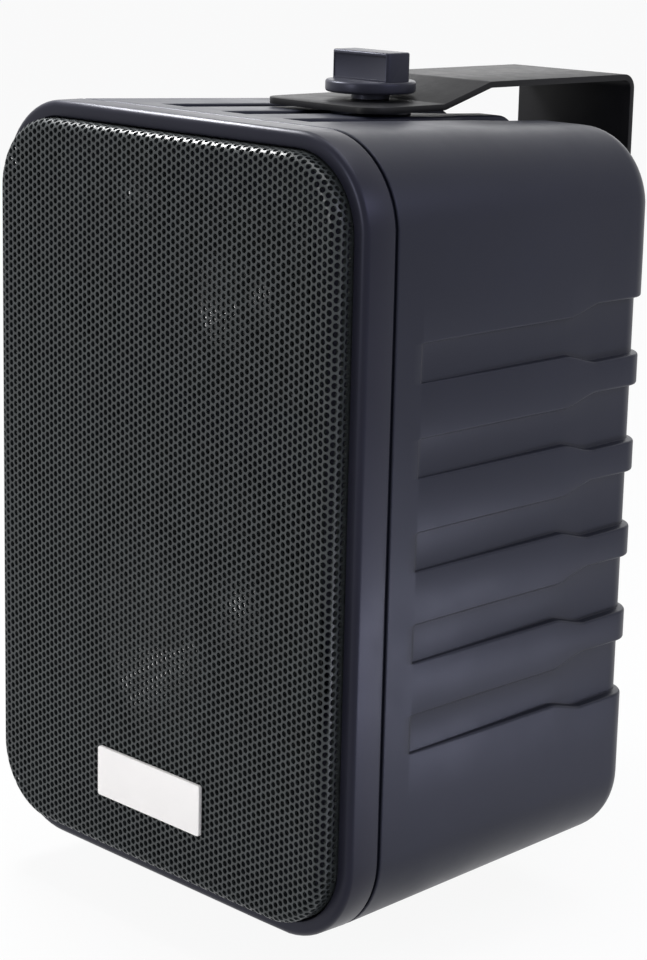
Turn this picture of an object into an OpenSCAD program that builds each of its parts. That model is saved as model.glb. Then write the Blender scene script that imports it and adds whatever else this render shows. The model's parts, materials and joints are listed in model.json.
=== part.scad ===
// Wall speaker with a perforated steel grille, hung in a steel U bracket.
// Origin: middle of the bracket's wall face. X to the right, Z up, the
// loudspeaker looks along -Y. All sizes in millimetres.

/* [Cabinet] */
// Width across the front
cab_w = 165; // [150:1:190]
// Height of the front
cab_h = 240; // [232:1:280]
// Depth of the moulded rear shell, from the seam to the back
shell_d = 119; // [112:1:150]
// Depth of the front bezel, from its face to the seam
bezel_d = 11.5; // [10.5:0.5:16]
// How far each side of the shell leans in by the time it reaches the back
draft = 4.6; // [3:0.1:5.5]
// Corner radius of the front outline
corner_r = 28.5; // [26:0.5:32]
// Rounding of the back edges
rear_r = 9; // [7:0.5:12]
// Rounding of the bezel's front edge
bezel_r = 2; // [1:0.25:3]
// Wall thickness of the shell at its rim
shell_wall = 3; // [2.5:0.1:4]
// Width of the shadow groove between bezel and shell
seam_w = 1.2; // [0.8:0.1:1.6]
// Depth of the shadow groove
seam_depth = 1; // [0.6:0.1:1.4]

/* [Recessed bands] */
// Spacing of the bands
band_pitch = 27.7; // [25:0.1:29]
// Width of a band at its shallow front end
band_front_w = 11.5; // [9:0.5:13]
// Width of a band at its rear end
band_rear_w = 18; // [15:0.5:20]
// Distance from the bezel's face to the front end of a band
band_start = 23.5; // [20:0.5:30]
// Length of the narrow part of a band
band_narrow = 67.5; // [60:0.5:72]
// Length of the slanted step between the two widths
band_step = 13; // [8:0.5:16]
// Depth with which a band begins
band_lead = 0.9; // [0.4:0.05:1.2]
// Depth of a band where it meets the back
band_depth = 3.4; // [2.4:0.1:3.8]

/* [Baffle] */
// Distance from the bezel's face to the plate that carries the drivers
baffle_in = 8; // [7:0.25:8.5]
// Width of the bezel's rim round the grille
rim_w = 5; // [4:0.25:6]
// Thickness of the locating lip that enters the shell
lip_t = 1.5; // [1:0.1:2]
// Length of the locating lip
lip_len = 3.5; // [2:0.5:5]
// Radius of the screw posts that hold the baffle
post_r = 4; // [3.6:0.1:4.4]
// Length of the screw posts
post_len = 24; // [18:1:30]

/* [Grille] */
// Thickness of the grille's sheet
sheet_t = 1; // [0.8:0.1:1.2]
// How far the grille stands out in front of the bezel
grille_proud = 6.3; // [5:0.1:8]
// Gap between grille and bezel rim
grille_gap = 0.5; // [0.3:0.1:0.8]
// Outer radius of the grille's bent edge
bend_out_r = 3; // [2.5:0.1:4]
// Spacing of the holes in a row
hole_pitch = 12; // [11.5:0.5:16]
// Width of a hole
hole_w = 9; // [6:0.2:9.6]
// Plain border between the outermost holes and the bent edge
hole_margin = 1.5; // [1:0.25:4]

/* [Badge] */
// Width of the plain plate on the grille
badge_w = 49; // [40:1:56]
// Height of the plate
badge_h = 16.3; // [12:0.5:20]
// Thickness of the plate
badge_t = 1.4; // [1:0.1:2]
// Height of the plate's middle above the cabinet's lower edge
badge_up = 31.7; // [28:0.1:36]

/* [Woofer] */
// Height of the woofer's middle above the cabinet's lower edge
woofer_up = 80; // [78:0.5:82]
// Outer radius of the woofer's flange
woofer_flange_r = 63; // [62:0.5:64]
// Distance of its screws from its middle
woofer_screw_r = 66.5; // [65:0.5:67]
// Thickness of the flange
flange_t = 2; // [1.6:0.1:2.4]
// Radius of the cone where the surround begins
cone_r = 44.5; // [43:0.25:46]
// Depth of the cone
cone_depth = 21; // [18:0.5:22]
// Radius of the roll of the surround
roll_r = 4.2; // [3.6:0.1:4.6]
// Radius of the dust cap
cap_r = 18; // [16:0.5:20]
// Outer radius of the voice coil's former
coil_r = 14; // [13.5:0.1:14.5]
// Radial air gap on both sides of the voice coil
coil_gap = 0.6; // [0.4:0.05:0.8]
// Depth of the basket behind the baffle plate
basket_depth = 34; // [32:0.5:38]
// Radius of the ring magnet
magnet_r = 36; // [33:0.5:40]
// Thickness of the ring magnet
magnet_t = 13; // [12:0.5:18]
// How far the cone travels each way
cone_travel = 3; // [1:0.5:3.5]

/* [Midrange and tweeter] */
// Midrange middle, right of the centre line
mid_x = 23; // [22:0.5:25]
// Midrange middle, above the cabinet's lower edge
mid_up = 187; // [186:0.5:189]
// Width of the midrange's square flange
mid_flange = 60; // [58:0.5:61]
// Spacing of the midrange's screws
mid_screw = 50; // [49:0.5:51]
// Radius of the midrange's cone
mid_cone_r = 20; // [18:0.5:20.5]
// Tweeter middle, left of the centre line
tweeter_x = 27; // [26.5:0.5:30]
// Tweeter middle, above the cabinet's lower edge
tweeter_up = 213; // [211:0.5:215]
// Radius of the tweeter's plate
tweeter_r = 17; // [16:0.5:17.5]
// Radius of the tweeter's dome
dome_r = 7; // [6:0.5:8]

/* [Port] */
// Port middle, inwards from the cabinet's left side
port_in = 32.5; // [30.5:0.5:35.5]
// Port middle, above the cabinet's lower edge
port_up = 176; // [172:0.5:180]
// Inner radius of the port
port_r = 11; // [10:0.5:12]
// Wall of the port tube
port_wall = 1.8; // [1.4:0.1:2.4]
// Length of the port behind the baffle plate
port_len = 62; // [45:1:75]

/* [Bracket] */
// Width of the steel strap
strap_w = 50; // [40:1:56]
// Thickness of the strap
strap_t = 2; // [1.6:0.1:3]
// Distance from the wall to the swivel axis
reach = 99.5; // [92:0.5:120]
// Distance from the bezel's face to the swivel axis
axis_in = 81.5; // [76:0.5:86]
// How far the arms run on past the swivel axis
arm_end = 24.5; // [20:0.5:28]
// Flat length behind the swivel axis
arm_flat = 8; // [7:0.5:14]
// Length of the slanted step in each arm
arm_step = 21; // [16:0.5:28]
// Height of the slanted step in each arm
arm_rise = 6.2; // [5:0.1:9]
// Inner radius of the two shallow bends in each arm
arm_curve = 4; // [2:0.5:6]
// Outer radius of the bends at the wall
arm_bend = 5; // [4:0.25:8]
// Rounding of the arms' free corners
arm_corner = 8; // [4:0.5:12]
// Half the sideways spacing of the wall holes
wall_hole_x = 15; // [10:0.5:17]
// Half the upright spacing of the wall holes
wall_hole_z = 60; // [40:1:80]
// Radius of the wall holes
wall_hole_r = 2.75; // [2:0.25:3.25]

/* [Clamp knobs] */
// Radius of the threaded stud
stud_r = 3; // [2.5:0.1:3.5]
// Length of the stud below the knob
stud_len = 15; // [12:0.5:17]
// Running clearance of the stud in its brass insert
thread_gap = 0.05; // [0.03:0.01:0.09]
// Clearance of the stud in the strap
strap_gap = 0.25; // [0.2:0.05:0.5]
// Outer radius of the brass inserts
insert_r = 5; // [4.6:0.1:5.6]
// Length of the brass inserts
insert_len = 12; // [9:0.5:14]
// Radius of the round seats on the cabinet
seat_r = 13; // [11:0.5:15]
// Height of the seats above the cabinet's skin
seat_h = 0.7; // [0.6:0.05:1.2]
// Thickness of the rubber washers
washer_t = 1.2; // [0.9:0.1:2]
// Length of the knob's grip
grip_len = 25.2; // [22:0.2:30]
// Thickness of the grip
grip_t = 10.4; // [8.5:0.2:12]
// Height of the grip
grip_h = 12.8; // [11:0.2:16]
// Depth of the sunk panels on both faces of the grip
panel_d = 0.35; // [0.2:0.05:0.8]
// Rim round the sunk panels
panel_rim = 1.1; // [0.8:0.1:2]
// Radius of the knob's skirt
skirt_r = 14.3; // [12:0.1:17]
// Height of the skirt
skirt_h = 3.8; // [3:0.1:5]
// Radius of the knob's neck
neck_r = 6; // [5:0.1:7]
// Height of the neck
neck_h = 2; // [1.5:0.1:4]

/* [Rear terminals] */
// Height of the terminal cup's middle above the cabinet's lower edge
cup_up = 74; // [68:0.5:82]
// Width of the cup's opening
cup_w = 56; // [50:0.5:60]
// Height of the cup's opening
cup_h = 40; // [36:0.5:44]
// Depth of the cup
cup_d = 15; // [14:0.5:18]
// Sideways spacing of the two terminals
terminal_gap = 24; // [22:0.5:26]
// Radius of the wire holes
wire_r = 1.8; // [1.4:0.1:2.2]
// Width of a terminal lever
lever_w = 12; // [10:0.5:13]
// Radius of a lever's pivot
pivot_r = 1.5; // [1.2:0.1:1.8]

/* [Crossover] */
// Height of the board's middle above the cabinet's lower edge
board_up = 165; // [150:1:168]
// Width of the board
board_w = 96; // [84:1:110]
// Height of the board
board_h = 62; // [56:1:70]
// Length of the board's standing posts
standoff = 5; // [4:0.5:8]

/* [Hidden] */
$fn = 64;
eps = 0.01;

// Clearances
touch_gap = 0.3;
fit_gap = 0.2;
gap_rim = 0.5;

// Planes along Y
front_y = -(reach + axis_in);
seam_y = front_y + bezel_d;
back_y = seam_y + shell_d;
baffle_y = front_y + baffle_in;
plate_t = bezel_d - baffle_in;
axis_y = -reach;

// Skin of the shell: how far it leans in for each millimetre of depth
skin_slope = draft / shell_d;
band_slope = (band_depth - band_lead) / (bezel_d + shell_d - band_start);
back_wall = shell_wall + 0.5;
back_inset = draft + shell_wall + band_depth;
cavity_r = rear_r - 2;
floor_over = 0.3;
function skin_z(y) = cab_h / 2 - skin_slope * max(0, y - seam_y);
function cavity_inset(y) = shell_wall + (back_inset - shell_wall) * (y - seam_y) / shell_d;
// The baffle's lip follows the shell's lean over its own length
lip_inset = cavity_inset(seam_y + lip_len) + fit_gap;

// Clamp stack above the swivel axis
seat_z = skin_z(axis_y) + seat_h;
arm_z = seat_z + washer_t;
arm_top_z = arm_z + strap_t;
knob_z = arm_top_z + touch_gap;
insert_z = seat_z - 0.5;
skirt_edge = 1;
grip_edge = 1.5;
grip_roof = 3;
groove_w = 1;
groove_d = 0.5;
stud_tip = 0.8;

// Grille and drivers
grille_w = cab_w - 2 * (rim_w + grille_gap);
grille_h = cab_h - 2 * (rim_w + grille_gap);
grille_r = corner_r - rim_w - grille_gap;
grille_y = front_y - grille_proud;
bottom_z = -cab_h / 2;
woofer_z = bottom_z + woofer_up;
mid_z = bottom_z + mid_up;
tweeter_z = bottom_z + tweeter_up;
port_x = cab_w / 2 - port_in;
port_z = bottom_z + port_up;
cup_z = bottom_z + cup_up;
board_z = bottom_z + board_up;

// Woofer sections, measured along its axis from the front of the baffle plate
surround_t = 0.8;
cone_t = 0.8;
cone_edge = 1;
top_plate_t = 5;
former_t = 0.8;
pole_r = coil_r - former_t - coil_gap;
gap_r = coil_r + coil_gap;
shelf_r = 34;
basket_r = cone_r + 2 * roll_r - 0.6;
basket_t = 1.5;
neck_z = flange_t - cone_depth;
spider_z = neck_z - cone_travel - 4;
top_plate_z = -basket_depth;
magnet_z = top_plate_z - top_plate_t;
yoke_z = magnet_z - magnet_t;
yoke_t = 5;
basket_waist_r = 42;
ear_r = 6;
surround_land = 3;
cone_rim = 3;
cone_face_r = cone_r - cone_rim - 0.6;
cone_face_z = neck_z + cone_t * 1.6;
gasket_t = 2.4;
basket_neck_r = 30;
basket_hole_r = 24;
window_w = 24;
window_reach = 30;
cap_h = 6;
cap_t = 0.8;
spider_t = 0.6;
spider_wave = 1.4;
spider_edge_r = 39;
vent_r = 4;
magnet_bore_r = 19;

// Midrange sections
mid_roll_r = 2.2;
mid_depth = 16;
mid_cup_r = 26.5;
mid_coil_r = 7;
mid_magnet_r = 19;
mid_magnet_t = 8;
mid_plate_t = 3;
mid_travel = 1;
mid_cone_depth = 9;
mid_neck_z = flange_t - mid_cone_depth;
mid_corner_r = 6;
mid_roll_t = 0.6;
mid_land = 2;
mid_basket_t = 1.4;
mid_hole_r = 11;
mid_coil_t = 0.6;
mid_gap = 0.5;
mid_yoke_t = 3;
mid_bore_r = 10;

// Tweeter sections
tweeter_t = 2.5;
tweeter_body_r = 13;
tweeter_body_t = 12;
dome_h = 4;
dome_roll = 2;
dome_t = 0.4;
dome_z = 1;
tweeter_skirt = 4;
tweeter_hole_r = 0.9;
tweeter_screw_in = 2;
coil_slot = 0.6;
dome_coil = 7;

// Flared mouth of the port
port_lip = 2.4;
port_lip_t = 1;
port_edge = 0.8;
port_flare = 3.6;

// Screws
screw_r = 1.6;
screw_head_r = 3.4;
screw_head_h = 2.2;
post_grip = 14;
small_screw_r = 1.2;
small_head_r = 2.5;
small_head_h = 1.6;
tiny_head_r = 1.7;
tiny_head_h = 1.1;
head_clear = sheet_t + touch_gap + screw_head_r;
post_in = grille_r - head_clear;
post_x = cab_w / 2 - corner_r + post_in * cos(45);
post_z = cab_h / 2 - corner_r + post_in * cos(45);
waist_x = grille_w / 2 - head_clear;
waist_z = woofer_z + woofer_screw_r * cos(45) + 7;
post_rib_t = 3;
// Each post: X, Z and the direction of the rib that ties it to the wall
POSTS = [
  [post_x, post_z, 45], [-post_x, post_z, 135], [-post_x, -post_z, 225], [post_x, -post_z, 315],
  [waist_x, waist_z, 0], [-waist_x, waist_z, 180]
];

// Rear cup
cup_flange = 5;
cup_wall = 2;
cup_flange_t = 2;
cup_floor_y = back_y - cup_d;
board_t = 1.6;
board_y = back_y - back_wall - standoff;
board_post_r = 3;
board_hole_x = board_w / 2 - 5;
board_hole_z = board_h / 2 - 5;
left_x = 26;
mid_col_x = 9;
right_x = 33;
coil_up = 8;
small_coil_up = 14;
big_coil_r = 16;
big_coil_h = 15;
small_coil_r = 12;
small_coil_h = 12;
coil_flange = 1.2;
coil_bore = 0.42;
winding_in = 1.5;
cap_can_r = 6;
cap_down = 9;
low_down = 19;
long_cap = 26;
short_cap = 24;
standing_cap = 20;
resistor_x = 36;
resistor_down = 8;
resistor_len = 18;
resistor_w = 8;
felt_t = 5;
felt_h = 150;
felt_end = 18;
felt_start = 6;
lever_up = 6;
lever_stand = 6;
lever_t = 2.4;
lever_drop = 11;
lever_head = 5;
lever_tilt = 12;
wire_low = lever_up - lever_drop - 4;
ear_t = 1.6;
ear_w = 6;
contact_w = 7;
contact_t = 0.8;
contact_h = 22;
tag_w = 4;
tag_len = 9.6;
tag_up = 3;

module rounded_rect(w, h, r) {
  square([w - 2 * r, h], center = true);
  square([w, h - 2 * r], center = true);
  for (x = [-1, 1], y = [-1, 1])
    translate([x * (w / 2 - r), y * (h / 2 - r)]) circle(r = r);
}

// Thin slice of the cabinet's outline, pulled in by the given inset
module slice(y, inset) {
  translate([0, y, 0]) rotate([90, 0, 0])
    linear_extrude(eps)
      rounded_rect(cab_w - 2 * inset, cab_h - 2 * inset, corner_r - inset, $fn = 32);
}

// Outline of the cabinet between two planes, straight
module slab(y0, y1, inset) {
  translate([0, y1, 0]) rotate([90, 0, 0])
    linear_extrude(y1 - y0)
      rounded_rect(cab_w - 2 * inset, cab_h - 2 * inset, corner_r - inset);
}

// Local +Z looks out of the front, the origin lies on the baffle plate
module at_front(x, z) {
  translate([x, baffle_y, z]) rotate([90, 0, 0]) children();
}

// Local +Z looks out of the back, the origin lies on the cabinet's back
module at_back(x, z) {
  translate([x, back_y, z]) rotate([90, 0, 180]) children();
}

module ring(r_out, r_in, h) {
  difference() {
    cylinder(r = r_out, h = h);
    translate([0, 0, -1]) cylinder(r = r_in, h = h + 2);
  }
}

module four(dx, dy) {
  for (x = [-dx, dx], y = [-dy, dy]) translate([x, y, 0]) children();
}

// Screw with a rounded head that rests on the local XY plane
module screw(r, len, head_r, head_h) {
  translate([0, 0, -len]) cylinder(r = r, h = len);
  difference() {
    rotate_extrude()
      intersection() {
        translate([0, -head_r]) circle(r = head_r + head_h);
        square([head_r, head_h]);
      }
    translate([0, 0, head_h / 2]) cylinder(r = r * 0.9, h = head_h, $fn = 6);
  }
}

// Bracket
function arc(c, r, a0, a1, n) =
  [for (i = [0:n]) let (a = a0 + (a1 - a0) * i / n) c + r * [cos(a), sin(a)]];

// Side view of the upper arm as [y, z], from its free end to the wall:
// its upper surface for s = 0 and its lower one for s = 1
function arm_line(s) =
  let (
    a = atan2(arm_rise, arm_step),
    inner = arm_curve,
    outer = arm_curve + strap_t,
    low = [axis_y + arm_flat - inner * tan(a / 2), arm_top_z + inner],
    high = [axis_y + arm_flat + arm_step + outer * tan(a / 2), arm_top_z + arm_rise - outer],
    corner = [-arm_bend, arm_top_z + arm_rise - arm_bend]
  )
  concat(
    [[axis_y - arm_end, arm_top_z - s * strap_t]],
    arc(low, inner + s * strap_t, -90, a - 90, 4),
    arc(high, outer - s * strap_t, 90 + a, 90, 4),
    arc(corner, arm_bend - s * strap_t, 90, 0, 9)
  );

function reversed(points) = [for (i = [len(points) - 1:-1:0]) points[i]];
function flipped(points) = [for (p = points) [p[0], -p[1]]];

module u_bracket() {
  color([0.07, 0.07, 0.08])
    difference() {
      intersection() {
        rotate([90, 0, 90])
          translate([0, 0, -strap_w / 2])
            linear_extrude(strap_w)
              polygon(concat(
                arm_line(0), reversed(flipped(arm_line(0))), flipped(arm_line(1)), reversed(arm_line(1))
              ));
        translate([0, 0, -cab_h])
          linear_extrude(2 * cab_h)
            union() {
              translate([-strap_w / 2, axis_y - arm_end + arm_corner])
                square([strap_w, -axis_y + arm_end]);
              translate([-strap_w / 2 + arm_corner, axis_y - arm_end])
                square([strap_w - 2 * arm_corner, arm_corner + 1]);
              for (x = [-1, 1])
                translate([x * (strap_w / 2 - arm_corner), axis_y - arm_end + arm_corner])
                  circle(r = arm_corner);
            }
      }
      translate([0, axis_y, -cab_h]) cylinder(r = stud_r + strap_gap, h = 2 * cab_h);
      for (x = [-wall_hole_x, wall_hole_x], z = [-wall_hole_z, wall_hole_z])
        translate([x, 1, z]) rotate([90, 0, 0]) cylinder(r = wall_hole_r, h = strap_t + 2);
    }
}

// Cabinet
module band_outline() {
  narrow = band_front_w / 2;
  wide = band_rear_w / 2;
  run = bezel_d + shell_d - band_start + 20;
  polygon([
    [0, -narrow], [band_narrow, -narrow], [band_narrow + band_step, -wide], [run, -wide],
    [run, wide], [band_narrow + band_step, wide], [band_narrow, narrow], [0, narrow]
  ]);
}

// Side view of a band's floor: straight, then rounded over towards the back
module band_floor(lean) {
  run = bezel_d + shell_d - band_start + floor_over;
  tangent = (run - rear_r * (1 - sin(lean))) / cos(lean);
  polygon(concat(
    [[0, 0]],
    arc([-rear_r, tangent], rear_r, 0, 90, 6),
    [[-rear_r, tangent + 2 * rear_r], [20, tangent + 2 * rear_r], [20, 0]]
  ));
}

// One band on the +X side of a skin that stands at the given half width.
// Its floor leans in more than the skin.
module band(half, off) {
  lean = atan(skin_slope + band_slope);
  translate([half - skin_slope * (band_start - bezel_d) - band_lead, front_y + band_start, off])
    rotate([0, 0, lean])
      intersection() {
        translate([-2 * rear_r, 0, 0]) rotate([90, 0, 90])
          linear_extrude(2 * rear_r + 10) band_outline();
        translate([0, 0, -band_rear_w])
          linear_extrude(2 * band_rear_w) band_floor(lean);
      }
}

module bands() {
  for (s = [0, 1]) {
    mirror([s, 0, 0])
      for (i = [-2:2]) band(cab_w / 2, i * band_pitch);
    mirror([0, 0, s]) rotate([0, -90, 0])
      for (i = [-1:1]) band(cab_h / 2, i * band_pitch);
  }
}

module shell_body() {
  hull() {
    slice(seam_y + seam_w, skin_slope * seam_w);
    for (a = [0:15:90])
      slice(
        back_y - rear_r + rear_r * sin(a),
        draft - skin_slope * rear_r * (1 - sin(a)) + rear_r * (1 - cos(a))
      );
  }
  slab(seam_y, seam_y + seam_w + 1, seam_depth);
}

module shell_cavity() {
  hull() {
    slice(seam_y - 1, cavity_inset(seam_y));
    for (a = [0:30:90]) {
      y = back_y - back_wall - cavity_r * (1 - sin(a));
      slice(y, cavity_inset(y) + cavity_r * (1 - cos(a)));
    }
  }
}

// Round seat and insert pillar on the top
module clamp_pillar() {
  translate([0, axis_y, seat_z - insert_len - 4]) cylinder(r = seat_r, h = insert_len + 4);
}

module cabinet_shell() {
  color([0.2, 0.21, 0.24])
    difference() {
      union() {
        difference() {
          shell_body();
          shell_cavity();
          bands();
        }
        for (s = [0, 1]) mirror([0, 0, s]) clamp_pillar();
        intersection() {
          shell_body();
          for (p = POSTS)
            translate([p[0], seam_y + post_len, p[1]]) rotate([90, 0, 0]) {
              cylinder(r = post_r, h = post_len);
              rotate([0, 0, p[2]]) translate([0, -post_rib_t / 2, 0])
                cube([corner_r, post_rib_t, post_len - lip_len - 1]);
            }
        }
        for (x = [-1, 1], z = [-1, 1])
          translate([x * board_hole_x, back_y - back_wall + 0.5, board_z + z * board_hole_z])
            rotate([90, 0, 0]) cylinder(r = board_post_r, h = standoff + 0.5);
      }
      for (s = [0, 1])
        mirror([0, 0, s])
          translate([0, axis_y, insert_z - insert_len])
            cylinder(r = insert_r, h = insert_len + 2);
      for (s = [0, 1])
        mirror([0, 0, s])
          translate([0, axis_y, insert_z - insert_len - 3]) cylinder(r = stud_r + 0.5, h = 4);
      for (p = POSTS)
        translate([p[0], seam_y + post_len - 6, p[1]]) rotate([90, 0, 0])
          cylinder(r = screw_r, h = post_len);
      for (x = [-1, 1], z = [-1, 1])
        translate([x * board_hole_x, board_y + standoff + 1, board_z + z * board_hole_z])
          rotate([90, 0, 0]) cylinder(r = small_screw_r, h = standoff + 2);
      at_back(0, cup_z)
        translate([0, 0, -cup_d - 5])
          linear_extrude(cup_d + 10)
            rounded_rect(cup_w + 2 * cup_wall + 2 * fit_gap, cup_h + 2 * cup_wall + 2 * fit_gap, 4);
      at_back(0, cup_z)
        translate([0, 0, -back_wall - 1])
          four(cup_w / 2 + cup_flange - 1, 0)
            cylinder(r = small_screw_r, h = back_wall + 2);
    }
}

module front_baffle() {
  color([0.17, 0.17, 0.2])
    difference() {
      union() {
        hull() {
          for (a = [0:22.5:90])
            slice(front_y + bezel_r * (1 - sin(a)), bezel_r * (1 - cos(a)));
          slice(seam_y, 0);
        }
        difference() {
          slab(seam_y - 1, seam_y + lip_len, lip_inset);
          slab(seam_y - 2, seam_y + lip_len + 1, lip_inset + lip_t);
          for (p = POSTS)
            translate([p[0], seam_y + lip_len + 1, p[1]]) rotate([90, 0, 0])
              cylinder(r = post_r + touch_gap, h = lip_len + 1);
        }
      }
      slab(front_y - 1, baffle_y, rim_w);
      at_front(0, woofer_z) translate([0, 0, -10]) cylinder(r = basket_r + basket_t + gap_rim, h = 20);
      at_front(mid_x, mid_z) translate([0, 0, -10]) cylinder(r = mid_cup_r + gap_rim, h = 20);
      at_front(-tweeter_x, tweeter_z)
        translate([0, 0, -10]) cylinder(r = tweeter_body_r + gap_rim, h = 20);
      at_front(-port_x, port_z)
        translate([0, 0, -10]) cylinder(r = port_r + port_wall + fit_gap, h = 20);
      for (p = POSTS)
        translate([p[0], seam_y + 1, p[1]]) rotate([90, 0, 0]) cylinder(r = screw_r + 0.2, h = 20);
      at_front(0, woofer_z)
        for (a = [45:90:315])
          rotate([0, 0, a]) translate([woofer_screw_r, 0, -10]) cylinder(r = screw_r, h = 20);
      at_front(mid_x, mid_z)
        four(mid_screw / 2, mid_screw / 2) translate([0, 0, -10]) cylinder(r = small_screw_r, h = 20);
      at_front(-tweeter_x, tweeter_z)
        for (a = [30:120:270])
          rotate([0, 0, a])
            translate([tweeter_r - tweeter_screw_in, 0, -10]) cylinder(r = tweeter_hole_r, h = 20);
    }
}

// Grille
module edge_profile() {
  depth = baffle_y - grille_y;
  difference() {
    union() {
      translate([-bend_out_r, bend_out_r]) square([bend_out_r, depth - bend_out_r]);
      intersection() {
        translate([-bend_out_r, bend_out_r]) circle(r = bend_out_r);
        translate([-bend_out_r, 0]) square([bend_out_r, bend_out_r]);
      }
    }
    translate([-bend_out_r, bend_out_r]) circle(r = bend_out_r - sheet_t);
    translate([-bend_out_r - 1, bend_out_r]) square([1 + bend_out_r - sheet_t, depth]);
  }
}

// Sheet profile swept round one corner of the grille
module grille_corner() {
  rotate_extrude(angle = 90)
    translate([grille_r, 0]) edge_profile();
}

module grille_side(len) {
  rotate([90, 0, 90])
    translate([0, 0, -len / 2])
      linear_extrude(len) edge_profile();
}

module hole_field() {
  w = grille_w / 2 - bend_out_r - hole_margin - hole_w / 2;
  h = grille_h / 2 - bend_out_r - hole_margin - hole_w / 2;
  r = grille_r - bend_out_r - hole_margin - hole_w / 2;
  row = hole_pitch * sqrt(3) / 2;
  nx = ceil(w / row);
  nz = ceil(h / hole_pitch);
  for (i = [-nx:nx], j = [-nz:nz]) {
    x = i * row;
    z = (j + (i % 2 == 0 ? 0 : 0.5)) * hole_pitch;
    cx = max(0, abs(x) - w + r);
    cz = max(0, abs(z) - h + r);
    if (abs(x) <= w && abs(z) <= h && cx * cx + cz * cz <= r * r)
      translate([x, z]) circle(d = hole_w, $fn = 6);
  }
}

module grille() {
  color([0.22, 0.22, 0.23])
    translate([0, grille_y, 0]) rotate([-90, 0, 0])
      union() {
        linear_extrude(sheet_t)
          difference() {
            rounded_rect(
              grille_w - 2 * bend_out_r, grille_h - 2 * bend_out_r, grille_r - bend_out_r
            );
            hole_field();
          }
        for (s = [0, 1])
          mirror([s, 0, 0])
            for (t = [0, 1])
              mirror([0, t, 0])
                translate([grille_w / 2 - grille_r, grille_h / 2 - grille_r, 0]) grille_corner();
        for (s = [0, 180]) {
          rotate([0, 0, s]) translate([0, grille_h / 2, 0]) grille_side(grille_w - 2 * grille_r);
          rotate([0, 0, s + 90]) translate([0, grille_w / 2, 0]) grille_side(grille_h - 2 * grille_r);
        }
      }
}

module badge_plate() {
  color([0.9, 0.89, 0.86])
    translate([0, grille_y, bottom_z + badge_up]) rotate([90, 0, 0])
      linear_extrude(badge_t) rounded_rect(badge_w, badge_h, 1);
}

// Clamp hardware, drawn for the top; the lower set is its mirror image
module insert() {
  color([0.78, 0.62, 0.3])
    translate([0, axis_y, insert_z - insert_len])
      difference() {
        cylinder(r = insert_r, h = insert_len);
        translate([0, 0, -1]) cylinder(r = stud_r + thread_gap, h = insert_len + 2);
        for (z = [insert_len / 3, 2 * insert_len / 3])
          translate([0, 0, z - groove_w / 2]) ring(insert_r + 1, insert_r - groove_d, groove_w);
      }
}

module washer() {
  color([0.1, 0.1, 0.1])
    translate([0, axis_y, seat_z]) ring(seat_r - 1, stud_r + 1, washer_t);
}

module knob() {
  panel_z = neck_h + skirt_h + panel_rim / 2;
  color([0.16, 0.16, 0.18])
    translate([0, axis_y, knob_z])
      difference() {
        union() {
          cylinder(r = neck_r, h = neck_h + 1);
          translate([0, 0, neck_h])
            rotate_extrude()
              polygon([
                [0, 0], [skirt_r - skirt_edge, 0], [skirt_r, skirt_edge],
                [skirt_r, skirt_h - skirt_edge], [skirt_r - skirt_edge, skirt_h], [0, skirt_h]
              ]);
          translate([0, 0, neck_h])
            linear_extrude(grip_h) rounded_rect(grip_len, grip_t, grip_edge);
        }
        translate([0, 0, -1]) cylinder(r = stud_r, h = neck_h + grip_h - grip_roof + 1);
        for (s = [-1, 1])
          translate([0, s * grip_t / 2, (panel_z + neck_h + grip_h - panel_rim) / 2])
            cube([
              grip_len - 2 * panel_rim, 2 * panel_d, neck_h + grip_h - panel_rim - panel_z
            ], center = true);
      }
}

module stud() {
  color([0.72, 0.72, 0.74])
    translate([0, axis_y, knob_z - stud_len])
      difference() {
        cylinder(r = stud_r, h = stud_len + neck_h + grip_h - grip_roof);
        translate([0, 0, -eps])
          difference() {
            cylinder(r = stud_r + 1, h = stud_tip);
            cylinder(r1 = stud_r - stud_tip, r2 = stud_r, h = stud_tip);
          }
      }
}

module insert_top() { insert(); }
module insert_bottom() { mirror([0, 0, 1]) insert(); }
module washer_top() { washer(); }
module washer_bottom() { mirror([0, 0, 1]) washer(); }
module knob_top() { knob(); }
module knob_bottom() { mirror([0, 0, 1]) knob(); }
module stud_top() { stud(); }
module stud_bottom() { mirror([0, 0, 1]) stud(); }

// Woofer
module woofer_basket() {
  color([0.13, 0.13, 0.14])
    at_front(0, woofer_z)
      difference() {
        union() {
          cylinder(r = woofer_flange_r, h = flange_t);
          for (a = [45:90:315])
            rotate([0, 0, a]) translate([woofer_screw_r, 0, 0]) cylinder(r = ear_r, h = flange_t);
          rotate_extrude()
            polygon([
              [0, flange_t], [basket_r + basket_t, flange_t], [basket_r + basket_t, -2],
              [basket_waist_r + basket_t, spider_z - 1], [shelf_r - 2, spider_z - 1],
              [basket_neck_r, top_plate_z], [0, top_plate_z]
            ]);
        }
        rotate_extrude()
          polygon([
            [0, flange_t + 1], [basket_r, flange_t + 1], [basket_r, -2],
            [basket_waist_r, spider_z + basket_t - 1], [shelf_r - 3, spider_z + basket_t - 1],
            [shelf_r - 3, spider_z], [basket_neck_r - basket_t, top_plate_z + basket_t],
            [basket_hole_r, top_plate_z + basket_t], [basket_hole_r, top_plate_z - 1],
            [0, top_plate_z - 1]
          ]);
        for (a = [0:60:300])
          rotate([0, 0, a + 30])
            translate([basket_waist_r - 4, -window_w / 2, spider_z + 3])
              cube([window_reach, window_w, -spider_z - 8]);
        for (a = [45:90:315])
          rotate([0, 0, a]) translate([woofer_screw_r, 0, -1]) cylinder(r = screw_r + 0.2, h = 6);
      }
}

module woofer_gasket() {
  color([0.09, 0.09, 0.09])
    at_front(0, woofer_z)
      translate([0, 0, flange_t + surround_t])
        ring(woofer_flange_r - 2, basket_r + fit_gap + 0.6, gasket_t);
}

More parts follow.
